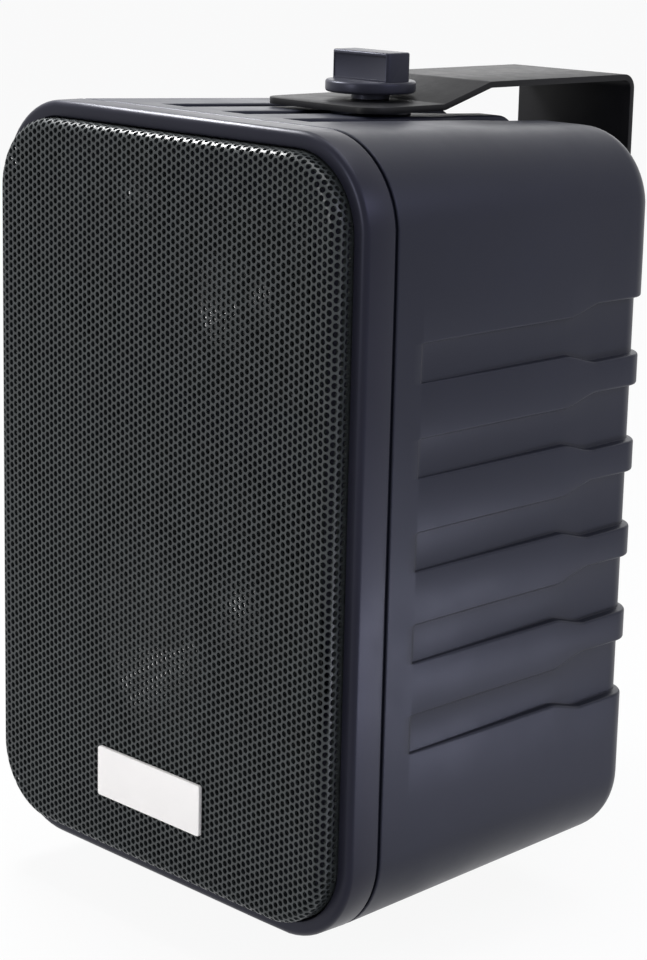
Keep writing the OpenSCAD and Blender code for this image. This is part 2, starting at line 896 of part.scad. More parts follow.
module roll(r_mid, r_roll, t) {
  rotate_extrude()
    intersection() {
      translate([r_mid, 0])
        difference() {
          circle(r = r_roll);
          circle(r = r_roll - t);
        }
      translate([r_mid - r_roll - 1, 0]) square([2 * r_roll + 2, r_roll + 1]);
    }
}

module surround(r_in, r_roll, land, t) {
  roll(r_in + r_roll, r_roll, t);
  ring(r_in + t, r_in - land, t);
  ring(r_in + 2 * r_roll + land, r_in + 2 * r_roll - t, t);
}

module woofer_surround() {
  color([0.06, 0.06, 0.06])
    at_front(0, woofer_z)
      translate([0, 0, flange_t]) surround(cone_r, roll_r, surround_land, surround_t);
}

module woofer_cone() {
  color([0.12, 0.12, 0.13])
    at_front(0, woofer_z)
      rotate_extrude()
        polygon([
          [coil_r, neck_z], [coil_r + cone_t * 1.4, neck_z],
          [cone_r - cone_rim, flange_t - cone_edge], [cone_r, flange_t - cone_edge],
          [cone_r, flange_t], [cone_face_r, flange_t], [coil_r, cone_face_z]
        ]);
}

// Height of the cone's front face at a given radius
function cone_face(r) =
  cone_face_z + (r - coil_r) * (flange_t - cone_face_z) / (cone_face_r - coil_r);

module dome_cap(r, h, t) {
  big = (r * r + h * h) / (2 * h);
  rotate_extrude()
    intersection() {
      translate([0, h - big])
        difference() {
          circle(r = big);
          circle(r = big - t);
        }
      square([r, h + 1]);
    }
}

module woofer_dust_cap() {
  color([0.1, 0.1, 0.11])
    at_front(0, woofer_z)
      translate([0, 0, cone_face(cap_r) + 0.1]) dome_cap(cap_r, cap_h, cap_t);
}

module woofer_voice_coil() {
  color([0.7, 0.42, 0.22])
    at_front(0, woofer_z) {
      low_z = magnet_z - cone_travel;
      translate([0, 0, low_z]) ring(coil_r, coil_r - former_t, neck_z + 1 - low_z);
    }
}

// Corrugated from the coil to its flat edge on the basket's shelf
module woofer_spider() {
  rest = spider_z + basket_t - 1;
  step = (shelf_r - 1 - coil_r) / 5;
  line = concat(
    [[coil_r, rest + spider_wave / 2]],
    [for (i = [1:4]) [coil_r + i * step, rest + (i % 2 == 1 ? 1 : 0.2) * spider_wave]],
    [[shelf_r - 1, rest], [spider_edge_r, rest]]
  );
  color([0.72, 0.6, 0.3])
    at_front(0, woofer_z)
      rotate_extrude()
        polygon(concat(line, reversed([for (p = line) p + [0, spider_t]])));
}

module woofer_top_plate() {
  color([0.6, 0.6, 0.62])
    at_front(0, woofer_z)
      translate([0, 0, magnet_z]) ring(magnet_r - 4, gap_r, top_plate_t);
}

module woofer_magnet() {
  color([0.22, 0.22, 0.23])
    at_front(0, woofer_z)
      translate([0, 0, yoke_z]) ring(magnet_r, magnet_bore_r, magnet_t);
}

module woofer_yoke() {
  color([0.55, 0.55, 0.57])
    at_front(0, woofer_z) {
      translate([0, 0, yoke_z - yoke_t])
        difference() {
          union() {
            cylinder(r = magnet_r - 3, h = yoke_t);
            cylinder(r = pole_r, h = yoke_t + magnet_t + top_plate_t);
          }
          translate([0, 0, -1]) cylinder(r = vent_r, h = yoke_t + magnet_t + top_plate_t + 2);
        }
    }
}

// Midrange
module midrange_frame() {
  color([0.13, 0.13, 0.14])
    at_front(mid_x, mid_z)
      difference() {
        union() {
          linear_extrude(flange_t) rounded_rect(mid_flange, mid_flange, mid_corner_r);
          translate([0, 0, -mid_depth]) cylinder(r1 = mid_magnet_r - 2, r2 = mid_cup_r, h = mid_depth);
        }
        translate([0, 0, mid_basket_t - mid_depth])
          cylinder(
            r1 = mid_magnet_r - 2 - mid_basket_t, r2 = mid_cup_r - mid_basket_t - 0.2,
            h = mid_depth - mid_basket_t + eps
          );
        translate([0, 0, -eps]) cylinder(r = mid_cone_r + 2 * mid_roll_r - 0.6, h = flange_t + 1);
        translate([0, 0, -mid_depth - 1]) cylinder(r = mid_hole_r, h = mid_basket_t + 2);
        four(mid_screw / 2, mid_screw / 2) translate([0, 0, -1]) cylinder(r = small_screw_r + 0.2, h = 5);
      }
}

module midrange_surround() {
  color([0.06, 0.06, 0.06])
    at_front(mid_x, mid_z)
      translate([0, 0, flange_t]) surround(mid_cone_r, mid_roll_r, mid_land, mid_roll_t);
}

module midrange_cone() {
  color([0.12, 0.12, 0.13])
    at_front(mid_x, mid_z)
      rotate_extrude()
        polygon([
          [0, mid_neck_z + 3.4], [mid_coil_r - 2, mid_neck_z + 2.6], [mid_coil_r, mid_neck_z + 1],
          [mid_coil_r, mid_neck_z], [mid_coil_r + 1.2, mid_neck_z],
          [mid_cone_r - 2, flange_t - 0.8], [mid_cone_r, flange_t - 0.8],
          [mid_cone_r, flange_t], [mid_cone_r - 2.6, flange_t], [mid_coil_r + 1, mid_neck_z + 2],
          [mid_coil_r - 1.6, mid_neck_z + 3.6], [0, mid_neck_z + 4.4]
        ]);
}

module midrange_voice_coil() {
  low_z = -mid_depth - mid_plate_t - mid_travel;
  color([0.7, 0.42, 0.22])
    at_front(mid_x, mid_z)
      translate([0, 0, low_z]) ring(mid_coil_r, mid_coil_r - mid_coil_t, mid_neck_z + 1 - low_z);
}

module midrange_top_plate() {
  color([0.6, 0.6, 0.62])
    at_front(mid_x, mid_z)
      translate([0, 0, -mid_depth - mid_plate_t])
        ring(mid_magnet_r - 2, mid_coil_r + mid_gap, mid_plate_t);
}

module midrange_magnet() {
  color([0.22, 0.22, 0.23])
    at_front(mid_x, mid_z)
      translate([0, 0, -mid_depth - mid_plate_t - mid_magnet_t])
        ring(mid_magnet_r, mid_bore_r, mid_magnet_t);
}

module midrange_yoke() {
  color([0.55, 0.55, 0.57])
    at_front(mid_x, mid_z)
      translate([0, 0, -mid_depth - mid_plate_t - mid_magnet_t - mid_yoke_t]) {
        cylinder(r = mid_magnet_r - 1.5, h = mid_yoke_t);
        cylinder(r = mid_coil_r - mid_coil_t - mid_gap, h = mid_yoke_t + mid_magnet_t + mid_plate_t);
      }
}

// Tweeter
module tweeter_plate() {
  color([0.12, 0.12, 0.13])
    at_front(-tweeter_x, tweeter_z)
      difference() {
        union() {
          cylinder(r = tweeter_r, h = tweeter_t);
          translate([0, 0, -tweeter_skirt])
            ring(tweeter_body_r, tweeter_body_r - 1.2, tweeter_skirt + eps);
        }
        translate([0, 0, dome_z])
          cylinder(r1 = dome_r + dome_roll + 0.4, r2 = dome_r + dome_roll + 2, h = tweeter_t - dome_z + 0.5);
        translate([0, 0, -1]) cylinder(r = dome_r + dome_roll - 0.4, h = 3);
        for (a = [30:120:270])
          rotate([0, 0, a])
            translate([tweeter_r - tweeter_screw_in, 0, -1])
              cylinder(r = tweeter_hole_r + fit_gap, h = tweeter_t + 2);
      }
}

module tweeter_surround() {
  color([0.08, 0.08, 0.09])
    at_front(-tweeter_x, tweeter_z)
      translate([0, 0, dome_z])
        difference() {
          union() {
            ring(dome_r + dome_roll, dome_r + dome_roll - 0.8, 0.3);
            roll(dome_r + dome_roll / 2, dome_roll / 2 - 0.1, 0.3);
          }
          translate([0, 0, -1]) cylinder(r = dome_r, h = 3);
        }
}

module tweeter_dome() {
  color([0.2, 0.2, 0.22])
    at_front(-tweeter_x, tweeter_z) {
      translate([0, 0, dome_z]) dome_cap(dome_r, dome_h, dome_t);
      translate([0, 0, dome_z - dome_coil]) ring(dome_r, dome_r - dome_t, dome_coil + 0.1);
    }
}

module tweeter_magnet() {
  color([0.22, 0.22, 0.23])
    at_front(-tweeter_x, tweeter_z)
      translate([0, 0, -tweeter_skirt - tweeter_body_t])
        difference() {
          cylinder(r = tweeter_body_r, h = tweeter_body_t);
          translate([0, 0, tweeter_body_t - 4])
            ring(dome_r + coil_slot, dome_r - dome_t - coil_slot, 5);
        }
}

module port_tube() {
  color([0.11, 0.11, 0.12])
    at_front(-port_x, port_z)
      rotate_extrude()
        polygon(concat(
          [
            [port_r, -port_len], [port_r + port_wall, -port_len], [port_r + port_wall, 0],
            [port_r + port_wall + port_lip, 0], [port_r + port_wall + port_lip, port_lip_t]
          ],
          [
            for (t = [0:15:90])
              [
                port_r + (port_wall + port_lip - port_edge) * (1 - sin(t)),
                port_flare * cos(t) - port_flare + 2
              ]
          ]
        ));
}

// Rear terminal cup
module terminal_cup() {
  ear_x = lever_w / 2 + touch_gap + ear_t / 2;
  color([0.14, 0.14, 0.15])
    at_back(0, cup_z)
      difference() {
        union() {
          linear_extrude(cup_flange_t)
            difference() {
              rounded_rect(
                cup_w + 2 * cup_wall + 2 * cup_flange + 4, cup_h + 2 * cup_wall + 2 * cup_flange, 5
              );
              rounded_rect(cup_w, cup_h, 3);
            }
          translate([0, 0, -cup_d])
            linear_extrude(cup_d)
              difference() {
                rounded_rect(cup_w + 2 * cup_wall, cup_h + 2 * cup_wall, 4);
                rounded_rect(cup_w, cup_h, 3);
              }
          translate([0, 0, -cup_d])
            linear_extrude(cup_wall) rounded_rect(cup_w + 1, cup_h + 1, 3);
          for (x = [-terminal_gap / 2, terminal_gap / 2], s = [-1, 1])
            translate([x + s * ear_x - ear_t / 2, lever_up - ear_w / 2, -cup_d + cup_wall - 1])
              cube([ear_t, ear_w, lever_stand + 1 + ear_w / 2]);
        }
        for (x = [-terminal_gap / 2, terminal_gap / 2]) {
          translate([x, lever_up, -cup_d + cup_wall + lever_stand]) rotate([0, 90, 0])
            cylinder(
              r = pivot_r + thread_gap, h = lever_w + 2 * (touch_gap + ear_t) + 1, center = true
            );
          translate([x, wire_low, -cup_d - 1]) cylinder(r = wire_r, h = cup_wall + 2);
        }
        four(cup_w / 2 + cup_flange - 1, 0)
          translate([0, 0, -1]) cylinder(r = small_screw_r + 0.2, h = cup_flange_t + 2);
      }
}

// Side view of a lever: barrel round the pivot and tilted paddle
module lever_profile() {
  circle(r = pivot_r + 1);
  rotate(-lever_tilt)
    translate([0.6 - pivot_r - lever_t, -lever_drop]) square([lever_t, lever_drop + lever_head]);
}

module lever(x, c) {
  color(c)
    at_back(x, cup_z)
      translate([0, lever_up, -cup_d + cup_wall + lever_stand]) rotate([0, 90, 0]) {
        cylinder(r = pivot_r, h = lever_w + 2 * (touch_gap + ear_t) - 0.4, center = true);
        translate([0, 0, -lever_w / 2]) linear_extrude(lever_w) lever_profile();
      }
}

module lever_red() { lever(-terminal_gap / 2, [0.75, 0.08, 0.08]); }
module lever_black() { lever(terminal_gap / 2, [0.05, 0.05, 0.05]); }

module terminal_contacts() {
  color([0.78, 0.62, 0.3])
    at_back(0, cup_z)
      for (x = [-terminal_gap / 2, terminal_gap / 2])
        translate([x, 0, -cup_d])
          difference() {
            union() {
              translate([-contact_w / 2, wire_low - 4, -contact_t])
                cube([contact_w, contact_h, contact_t]);
              translate([-tag_w / 2, tag_up, -tag_len - contact_t / 2])
                cube([tag_w, contact_t, tag_len]);
            }
            translate([0, wire_low, -2]) cylinder(r = wire_r, h = 4);
          }
}

// Crossover
module crossover_board() {
  color([0.1, 0.35, 0.2])
    translate([0, board_y, board_z]) rotate([90, 0, 0])
      difference() {
        linear_extrude(board_t) rounded_rect(board_w, board_h, 2);
        four(board_hole_x, board_hole_z) translate([0, 0, -1]) cylinder(r = small_screw_r + 0.2, h = 4);
      }
}

module on_board(x, z) {
  translate([x, board_y - board_t, board_z + z]) rotate([90, 0, 0]) children();
}

module coil(r, h) {
  for (z = [0, h - coil_flange]) translate([0, 0, z]) ring(r, r * coil_bore, coil_flange);
  translate([0, 0, coil_flange]) ring(r - winding_in, r * coil_bore, h - 2 * coil_flange);
}

module crossover_coils() {
  color([0.72, 0.4, 0.2]) {
    on_board(-left_x, coil_up) coil(big_coil_r, big_coil_h);
    on_board(mid_col_x, small_coil_up) coil(small_coil_r, small_coil_h);
  }
}

module lying_capacitor(len) {
  translate([0, 0, cap_can_r]) rotate([0, 90, 0]) cylinder(r = cap_can_r, h = len, center = true);
}

module crossover_capacitors() {
  color([0.15, 0.2, 0.45]) {
    on_board(mid_col_x, -cap_down) lying_capacitor(long_cap);
    on_board(-left_x, -low_down) lying_capacitor(short_cap);
    on_board(right_x, small_coil_up) cylinder(r = cap_can_r, h = standing_cap);
  }
}

module crossover_resistors() {
  color([0.88, 0.86, 0.8])
    for (z = [-resistor_down, -low_down])
      on_board(resistor_x, z)
        translate([-resistor_len / 2, -resistor_w / 2, 0]) cube([resistor_len, resistor_w, resistor_w]);
}

// Felt sheets on the inside of both side walls
module damping_felt() {
  y0 = seam_y + post_len + felt_start;
  y1 = back_y - felt_end;
  lean = atan((back_inset - shell_wall) / shell_d);
  color([0.35, 0.34, 0.32])
    for (s = [0, 1])
      mirror([s, 0, 0])
        translate([cab_w / 2 - cavity_inset(y0) - touch_gap, y0, 0])
          rotate([0, 0, lean])
            translate([-felt_t, 0, -felt_h / 2]) cube([felt_t, y1 - y0, felt_h]);
}

// Fasteners
module baffle_screws() {
  color([0.15, 0.15, 0.15])
    for (p = POSTS)
      translate([p[0], baffle_y, p[1]]) rotate([90, 0, 0])
        screw(screw_r, plate_t + post_grip, screw_head_r, screw_head_h);
}

module woofer_screws() {
  color([0.15, 0.15, 0.15])
    at_front(0, woofer_z)
      for (a = [45:90:315])
        rotate([0, 0, a]) translate([woofer_screw_r, 0, flange_t])
          screw(screw_r, flange_t + plate_t + 3, screw_head_r, screw_head_h);
}

module midrange_screws() {
  color([0.15, 0.15, 0.15])
    at_front(mid_x, mid_z)
      four(mid_screw / 2, mid_screw / 2) translate([0, 0, flange_t])
        screw(small_screw_r, flange_t + plate_t + 2, small_head_r, small_head_h);
}

module tweeter_screws() {
  color([0.15, 0.15, 0.15])
    at_front(-tweeter_x, tweeter_z)
      for (a = [30:120:270])
        rotate([0, 0, a]) translate([tweeter_r - tweeter_screw_in, 0, tweeter_t])
          screw(tweeter_hole_r, tweeter_t + plate_t + 1, tiny_head_r, tiny_head_h);
}

module terminal_screws() {
  color([0.15, 0.15, 0.15])
    at_back(0, cup_z)
      four(cup_w / 2 + cup_flange - 1, 0) translate([0, 0, cup_flange_t])
        screw(small_screw_r, cup_flange_t + back_wall, small_head_r, small_head_h);
}

module board_screws() {
  color([0.6, 0.6, 0.6])
    translate([0, board_y - board_t, board_z]) rotate([90, 0, 0])
      four(board_hole_x, board_hole_z) screw(small_screw_r, board_t + standoff, small_head_r, small_head_h);
}

u_bracket();
cabinet_shell();
front_baffle();
grille();
badge_plate();
insert_top();
insert_bottom();
washer_top();
washer_bottom();
knob_top();
knob_bottom();
stud_top();
stud_bottom();
woofer_basket();
woofer_gasket();
woofer_surround();
woofer_cone();
woofer_dust_cap();
woofer_voice_coil();
woofer_spider();
woofer_top_plate();
woofer_magnet();
woofer_yoke();
midrange_frame();
midrange_surround();
midrange_cone();
midrange_voice_coil();
midrange_top_plate();
midrange_magnet();
midrange_yoke();
tweeter_plate();
tweeter_surround();
tweeter_dome();
tweeter_magnet();
port_tube();
terminal_cup();
lever_red();
lever_black();
terminal_contacts();
crossover_board();
crossover_coils();
crossover_capacitors();
crossover_resistors();
damping_felt();
baffle_screws();
woofer_screws();
midrange_screws();
tweeter_screws();
terminal_screws();
board_screws();
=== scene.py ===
"""Looks of a wall speaker with a perforated steel grille, hung in a steel U bracket."""

import json
import math

import bmesh
import bpy
from mathutils import Matrix, Vector


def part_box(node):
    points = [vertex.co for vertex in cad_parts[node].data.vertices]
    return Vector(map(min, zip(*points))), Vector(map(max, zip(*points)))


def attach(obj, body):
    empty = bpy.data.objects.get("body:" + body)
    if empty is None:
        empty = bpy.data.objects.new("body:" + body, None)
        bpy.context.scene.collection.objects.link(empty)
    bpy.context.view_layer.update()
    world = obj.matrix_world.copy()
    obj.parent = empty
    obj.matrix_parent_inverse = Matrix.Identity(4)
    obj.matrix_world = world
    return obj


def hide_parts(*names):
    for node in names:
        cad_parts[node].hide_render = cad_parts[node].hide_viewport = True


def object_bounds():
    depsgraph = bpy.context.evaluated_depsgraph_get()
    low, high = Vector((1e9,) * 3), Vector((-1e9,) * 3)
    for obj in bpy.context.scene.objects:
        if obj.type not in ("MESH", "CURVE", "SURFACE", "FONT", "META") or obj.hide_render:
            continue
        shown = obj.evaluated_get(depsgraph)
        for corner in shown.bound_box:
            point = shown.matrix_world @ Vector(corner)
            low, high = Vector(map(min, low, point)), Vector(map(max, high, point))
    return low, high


bl_info = {
    "name": "Wall Speaker Dressing",
    "version": (1, 1, 0),
    "blender": (4, 5, 0),
    "location": "3D View > Sidebar > Speaker",
    "description": "Dresses the packed wall speaker with its finished surfaces",
    "category": "Object",
}

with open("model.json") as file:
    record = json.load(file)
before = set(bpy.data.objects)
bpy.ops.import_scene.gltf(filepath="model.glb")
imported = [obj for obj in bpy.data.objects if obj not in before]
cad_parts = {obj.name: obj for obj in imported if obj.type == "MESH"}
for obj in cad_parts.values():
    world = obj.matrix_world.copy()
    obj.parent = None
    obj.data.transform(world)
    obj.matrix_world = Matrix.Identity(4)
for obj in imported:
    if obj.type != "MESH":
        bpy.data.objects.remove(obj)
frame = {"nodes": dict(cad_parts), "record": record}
FRAME_BOX = [list(corner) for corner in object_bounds()]
MM = 0.001
TAU = 2 * math.pi

# Places that the frame gives
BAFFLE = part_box("front_baffle")
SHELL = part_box("cabinet_shell")
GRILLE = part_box("grille")
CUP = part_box("terminal_cup")
FRONT_Y = BAFFLE[0].y
SEAM_Y = SHELL[0].y
BACK_Y = SHELL[1].y
HALF_W = BAFFLE[1].x
HALF_H = BAFFLE[1].z
BAFFLE_Y = GRILLE[1].y
GRILLE_Y = GRILLE[0].y

BODIES = frame["record"]["behaviour"]["bodies"]
NODE_BODY = {node: body for body, nodes in BODIES.items() for node in nodes}
NODE_SLOT = {part["node"]: part["material_slot"] for part in frame["record"]["subparts"]}

# Counts of the bands and of the steps round a corner
SIDE_BANDS = 5
TOP_BANDS = 3
CORNER_STEPS = 16
EDGE_STEPS = 4

# Head height over head radius and shank radius over head radius of the screws
HEAD_SHAPE = 0.645
SHANK_SHAPE = 0.47

# Washer seats outside the shell and the pillars under them
SEAT_RADIUS = 13 * MM
SEAT_HEIGHT = 16 * MM
SEAT_EDGE = 0.4 * MM
BORE_OVERRUN = 3 * MM

# Radius, bore and length of the posts for the baffle's screws
POST_RADIUS = 4 * MM
POST_BORE = 1.6 * MM
POST_LENGTH = 24 * MM

# Radius and bore of the circuit board's posts and how far they enter the back wall
BOARD_POST_RADIUS = 3 * MM
BOARD_POST_BORE = 1.2 * MM
BOARD_POST_ROOT = 0.4 * MM

# Half width, half height and corner of the opening for the terminal cup
CUP_HALF_W = 30.2 * MM
CUP_HALF_H = 22.2 * MM
CUP_CORNER = 4 * MM

# Radius of the round opening that each of these pieces has in the baffle plate
OPENINGS = {
    "woofer_gasket": 54.3 * MM,
    "midrange_surround": 27 * MM,
    "tweeter_plate": 13.5 * MM,
    "port_tube": 13 * MM,
}

# How far the locating lip starts inside the baffle plate
LIP_ROOT = 0.5 * MM

# Place of the extra points beside a bend that keep the strap's flats shading flat
FLAT_MARGIN = 0.6 * MM

# Cut of a stud's tip in thread depths, and the share of a turn that it takes
TIP_CUT = 1.6
TIP_RUN = 0.5

# Name, place, size, power and tint of each lamp
LAMPS = (
    ("overhead", (0.1, 0.1, 1.3), (1.0, 1.0), 10, (1, 1, 1)),
    ("behind", (-1.0, 1.3, 0.55), (1.0, 0.5), 2, (1, 1, 1)),
    ("front", (-0.165, -1.6, 0.335), (0.35, 0.35), 8, (1, 1, 1)),
    ("knob", (-0.13, -0.17, 0.24), (0.08, 0.05), 0.7, (1, 1, 1)),
    ("high side", (0.3, -0.06, 0.23), (0.2, 0.08), 0.3, (0.78, 0.78, 1)),
    ("low side", (0.3, 0.0, -0.12), (0.25, 0.02), 0.35, (0.85, 0.87, 1)),
)

# Rounding in millimetres of each dressed node's edges, in the order of their making
DRIVER_EDGES = {
    "woofer_basket": 0.2,
    "midrange_frame": 0.2,
    "tweeter_plate": 0.2,
    "port_tube": 0.2,
    "woofer_top_plate": 0.4,
    "woofer_magnet": 0.4,
    "woofer_yoke": 0.4,
    "midrange_top_plate": 0.4,
    "midrange_magnet": 0.3,
    "midrange_yoke": 0.3,
    "tweeter_magnet": 0.3,
    "woofer_gasket": 0,
    "woofer_surround": 0,
    "woofer_cone": 0,
    "woofer_dust_cap": 0,
    "woofer_spider": 0,
    "midrange_surround": 0,
    "midrange_cone": 0,
    "tweeter_surround": 0,
    "tweeter_dome": 0,
}
TERMINAL_EDGES = {
    "terminal_cup": 0.3,
    "lever_red": 0.35,
    "lever_black": 0.35,
    "terminal_contacts": 0.1,
}
CROSSOVER_EDGES = {
    "crossover_board": 0.1,
    "crossover_coils": 0.2,
    "crossover_capacitors": 0.5,
    "crossover_resistors": 0.5,
    "damping_felt": 0.8,
}


def centre(node):
    """Middle of a CAD node's box."""
    low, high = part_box(node)
    return (low + high) / 2


def length(name, size, text):
    """A length property with its default in millimetres."""
    return bpy.props.FloatProperty(
        name=name, description=text, default=size * MM, unit="LENGTH", precision=5
    )


def angle(name, degrees, text):
    """An angle property with its default in degrees."""
    return bpy.props.FloatProperty(
        name=name, description=text, default=math.radians(degrees), unit="ROTATION"
    )


def colour(name, value, text):
    """A colour property with a linear default."""
    return bpy.props.FloatVectorProperty(
        name=name, description=text, default=value, size=3, min=0, max=1, subtype="COLOR"
    )


class CabinetSizes(bpy.types.PropertyGroup):
    """Sizes of the moulded cabinet"""

    corner: length("Corner radius", 28.5, "Corner radius of the front outline")
    draft: length("Draft", 4.6, "How far each side leans in by the time it reaches the back")
    rear_round: length("Rear rounding", 9, "Rounding of the back edges")
    front_round: length("Bezel rounding", 2, "Rounding of the bezel's front edge")
    lip_round: length("Rim rounding", 0.5, "Rounding of the edges beside the seam and the grille")
    wall: length("Wall", 3, "Wall of the shell at its rim")
    back_wall: length("Back wall", 3.5, "Wall of the shell's back")
    seam: length("Seam width", 1.2, "Width of the shadow groove")
    seam_depth: length("Seam depth", 1, "Depth of the shadow groove")
    rim: length("Rim width", 5, "Width of the bezel's rim round the grille")
    lip: length("Lip", 1.5, "Thickness of the locating lip behind the baffle")
    lip_reach: length("Lip reach", 3.5, "How far the locating lip reaches into the shell")
    lip_gap: length("Lip gap", 0.4, "Gap between the locating lip and the shell")
    band_pitch: length("Band pitch", 27.7, "Spacing of the recessed bands")
    band_narrow: length("Band front width", 11.5, "Width of a band at its front end")
    band_wide: length("Band rear width", 18, "Width of a band at its rear end")
    band_start: length("Band start", 23.5, "Distance from the bezel's face to a band")
    band_run: length("Narrow run", 67.5, "Length of the narrow part of a band")
    band_step: length("Band step", 13, "Length of the slanted step of a band")
    band_depth: length("Band depth", 3.4, "Depth of a band at the back")
    band_lead: length("Band lead", 0.9, "Depth with which a band begins")
    band_ramp: length("Band ramp", 1.4, "Length of the slope at a band's front end")
    floor_over: length("Floor overrun", 0.3, "How far a band's rounded floor runs past the back")
    edge: length("Band edge", 0.8, "Rounding of the edges along a band")
    fillet: length("Band fillet", 0.2, "Hollow rounding at the foot of a band's walls")
    wall_lean: length("Band wall lean", 0.12, "How far a band's walls lean out for the mould")


class GrilleSizes(bpy.types.PropertyGroup):
    """Sizes of the perforated grille"""

    gap: length("Rim gap", 0.5, "Gap between grille and bezel rim")
    sheet: length("Sheet", 1, "Thickness of the grille's sheet")
    bend: length("Bend", 3, "Outer radius of the bent edge")
    pitch: length("Hole pitch", 2.4, "Distance between neighbouring holes")
    hole: length("Hole", 1.84, "Diameter of a hole")
    wrap: length("Wrap", 9, "How far the holes run on over the bent edge")
    badge_corner: length("Badge corner", 1, "Corner radius of the plain plate")
    badge_edge: length("Badge edge", 0.3, "Rounded edge of the plain plate")


class ClampSizes(bpy.types.PropertyGroup):
    """Sizes of the bracket, the knobs and the studs"""

    strap: length("Strap", 2, "Thickness of the strap")
    arm_flat: length("Arm flat", 8, "Flat part of an arm behind the stud")
    arm_step: length("Arm step", 21, "Length of an arm's slope")
    strap_bend: length("Strap bend", 5, "Middle radius of the shallow bends of an arm")
    wall_bend: length("Wall bend", 4, "Middle radius of the bends at the wall")
    strap_corner: length("Strap corner", 8, "Corner radius of the arms' free ends")
    strap_edge: length("Strap edge", 0.35, "Rounding of the strap's cut edges")
    stud_hole: length("Stud hole", 3.25, "Radius of the hole for a stud")
    wall_hole: length("Wall hole", 2.75, "Radius of a wall hole")
    wall_hole_x: length("Wall hole side", 15, "Distance of the wall holes from the middle")
    wall_hole_z: length("Wall hole height", 60, "Height of the wall holes above the middle")
    neck: length("Neck height", 2, "Height of a knob's neck")
    neck_radius: length("Neck radius", 6, "Radius of a knob's neck")
    skirt: length("Skirt height", 3.8, "Height of a knob's skirt")
    skirt_radius: length("Skirt radius", 14.3, "Radius of a knob's skirt")
    skirt_edge: length("Skirt edge", 0.9, "Rounding of a knob's skirt")
    grip_long: length("Grip length", 25.2, "Length of a knob's grip")
    grip_wide: length("Grip width", 10.4, "Width of a knob's grip")
    grip_corner: length("Grip corner", 1.5, "Rounding of the grip's upright edges")
    grip_edge: length("Grip edge", 0.6, "Rounding of the grip's top edges")
    panel: length("Panel", 0.35, "Depth of the sunk panels of the grip")
    panel_rim: length("Panel rim", 1.1, "Rim round the sunk panels")
    stud: length("Stud", 3, "Radius of a stud over its thread")
    thread: length("Thread", 0.45, "Depth of the thread")
    thread_pitch: length("Thread pitch", 1, "Pitch of the thread")


class Finishes(bpy.types.PropertyGroup):
    """Colours of the parts that show in the photograph's view"""

    shell: colour("Shell", (0.0088, 0.0096, 0.0152), "Moulded plastic of the cabinet")
    bezel: colour("Bezel", (0.0095, 0.0095, 0.0152), "Moulded plastic of the front")
    grille: colour("Grille", (0.031, 0.035, 0.036), "Powder coat of the grille")
    bracket: colour("Bracket", (0.0055, 0.0055, 0.0065), "Powder coat of the bracket")
    badge: colour("Badge", (0.93, 0.9, 0.87), "Face of the plain plate")
    knob: colour("Knob", (0.017, 0.0175, 0.024), "Moulded plastic of the knobs")
    gleam: colour("Gleam", (0.72, 0.74, 1.0), "Tint of the plastic's straight reflections")


class StageLook(bpy.types.PropertyGroup):
    """Camera and floor"""

    floor: colour("Floor", (0.84, 0.84, 0.85), "Pale floor")
    floor_white: bpy.props.FloatProperty(
        name="Floor white",
        description="Share of plain white in the floor that the camera sees",
        default=0.92,
    )
    floor_gap: length("Floor gap", 1, "Distance of the floor below the lowest point")
    lens: bpy.props.FloatProperty(
        name="Lens", description="Focal length of the camera in millimetres", default=94.39
    )
    place: bpy.props.FloatVectorProperty(
        name="Camera place",
        description="Place of the camera",
        default=(0.5685, -0.6620, 0.1879),
        size=3,
        subtype="TRANSLATION",
        unit="LENGTH",
    )
    azimuth: angle("Azimuth", 46.15, "Direction of the camera round the speaker")
    pitch: angle("Pitch", 13.4, "How far the camera looks down")
    roll: angle("Roll", 1.38, "Tilt of the picture")


# Mesh helpers


def loft(bm, rings, close_ends=False):
    """Joins closed rings of points with quads and returns the rows of vertices."""
    rows = [[bm.verts.new(p) for p in ring] for ring in rings]
    pairs = list(zip(rows, rows[1:]))
    if close_ends:
        pairs.append((rows[-1], rows[0]))
    for a, b in pairs:
        for i in range(len(a)):
            j = (i + 1) % len(a)
            bm.faces.new((a[i], a[j], b[j], b[i]))
    return rows


def loop_edges(bm, row):
    """Edges of a closed row of vertices, made where they are missing."""
    return [bm.edges.get(pair) or bm.edges.new(pair) for pair in zip(row, row[1:] + row[:1])]


def fill(bm, rows):
    """Flat face between an outer row and the rows of its holes."""
    edges = [edge for row in rows for edge in loop_edges(bm, row)]
    bmesh.ops.triangle_fill(bm, use_beauty=True, use_dissolve=False, edges=edges)


def circle(radius, steps):
    """Points of a circle in two dimensions."""
    turns = [TAU * i / steps for i in range(steps)]
    return [(radius * math.cos(a), radius * math.sin(a)) for a in turns]


def quarter(steps):
    """Sine and cosine at even steps over a quarter turn."""
    turns = [math.pi / 2 * i / steps for i in range(steps + 1)]
    return [(math.sin(a), math.cos(a)) for a in turns]


def lathe(bm, profile, place, axis="Z", steps=64, hollow=True):
    """Turns a profile of (radius, height) round an axis through a place."""
    rings = []
    for radius, height in profile:
        around = circle(radius, steps)
        if axis == "Z":
            rings.append([Vector(place) + Vector((a, b, height)) for a, b in around])
        else:
            rings.append([Vector(place) + Vector((a, height, b)) for a, b in around])
    rows = loft(bm, rings, close_ends=hollow)
    if not hollow:
        bm.faces.new(rows[0])
        bm.faces.new(rows[-1])
    return rows


def box_outline(half_w, half_h, radius, steps):
    """Points of a rounded rectangle round the origin."""
    points = []
    for number, (sx, sy) in enumerate(((1, 1), (-1, 1), (-1, -1), (1, -1))):
        for i in range(steps + 1):
            a = math.pi / 2 * (number + i / steps)
            x = sx * (half_w - radius) + radius * math.cos(a)
            y = sy * (half_h - radius) + radius * math.sin(a)
            points.append((x, y))
    return points


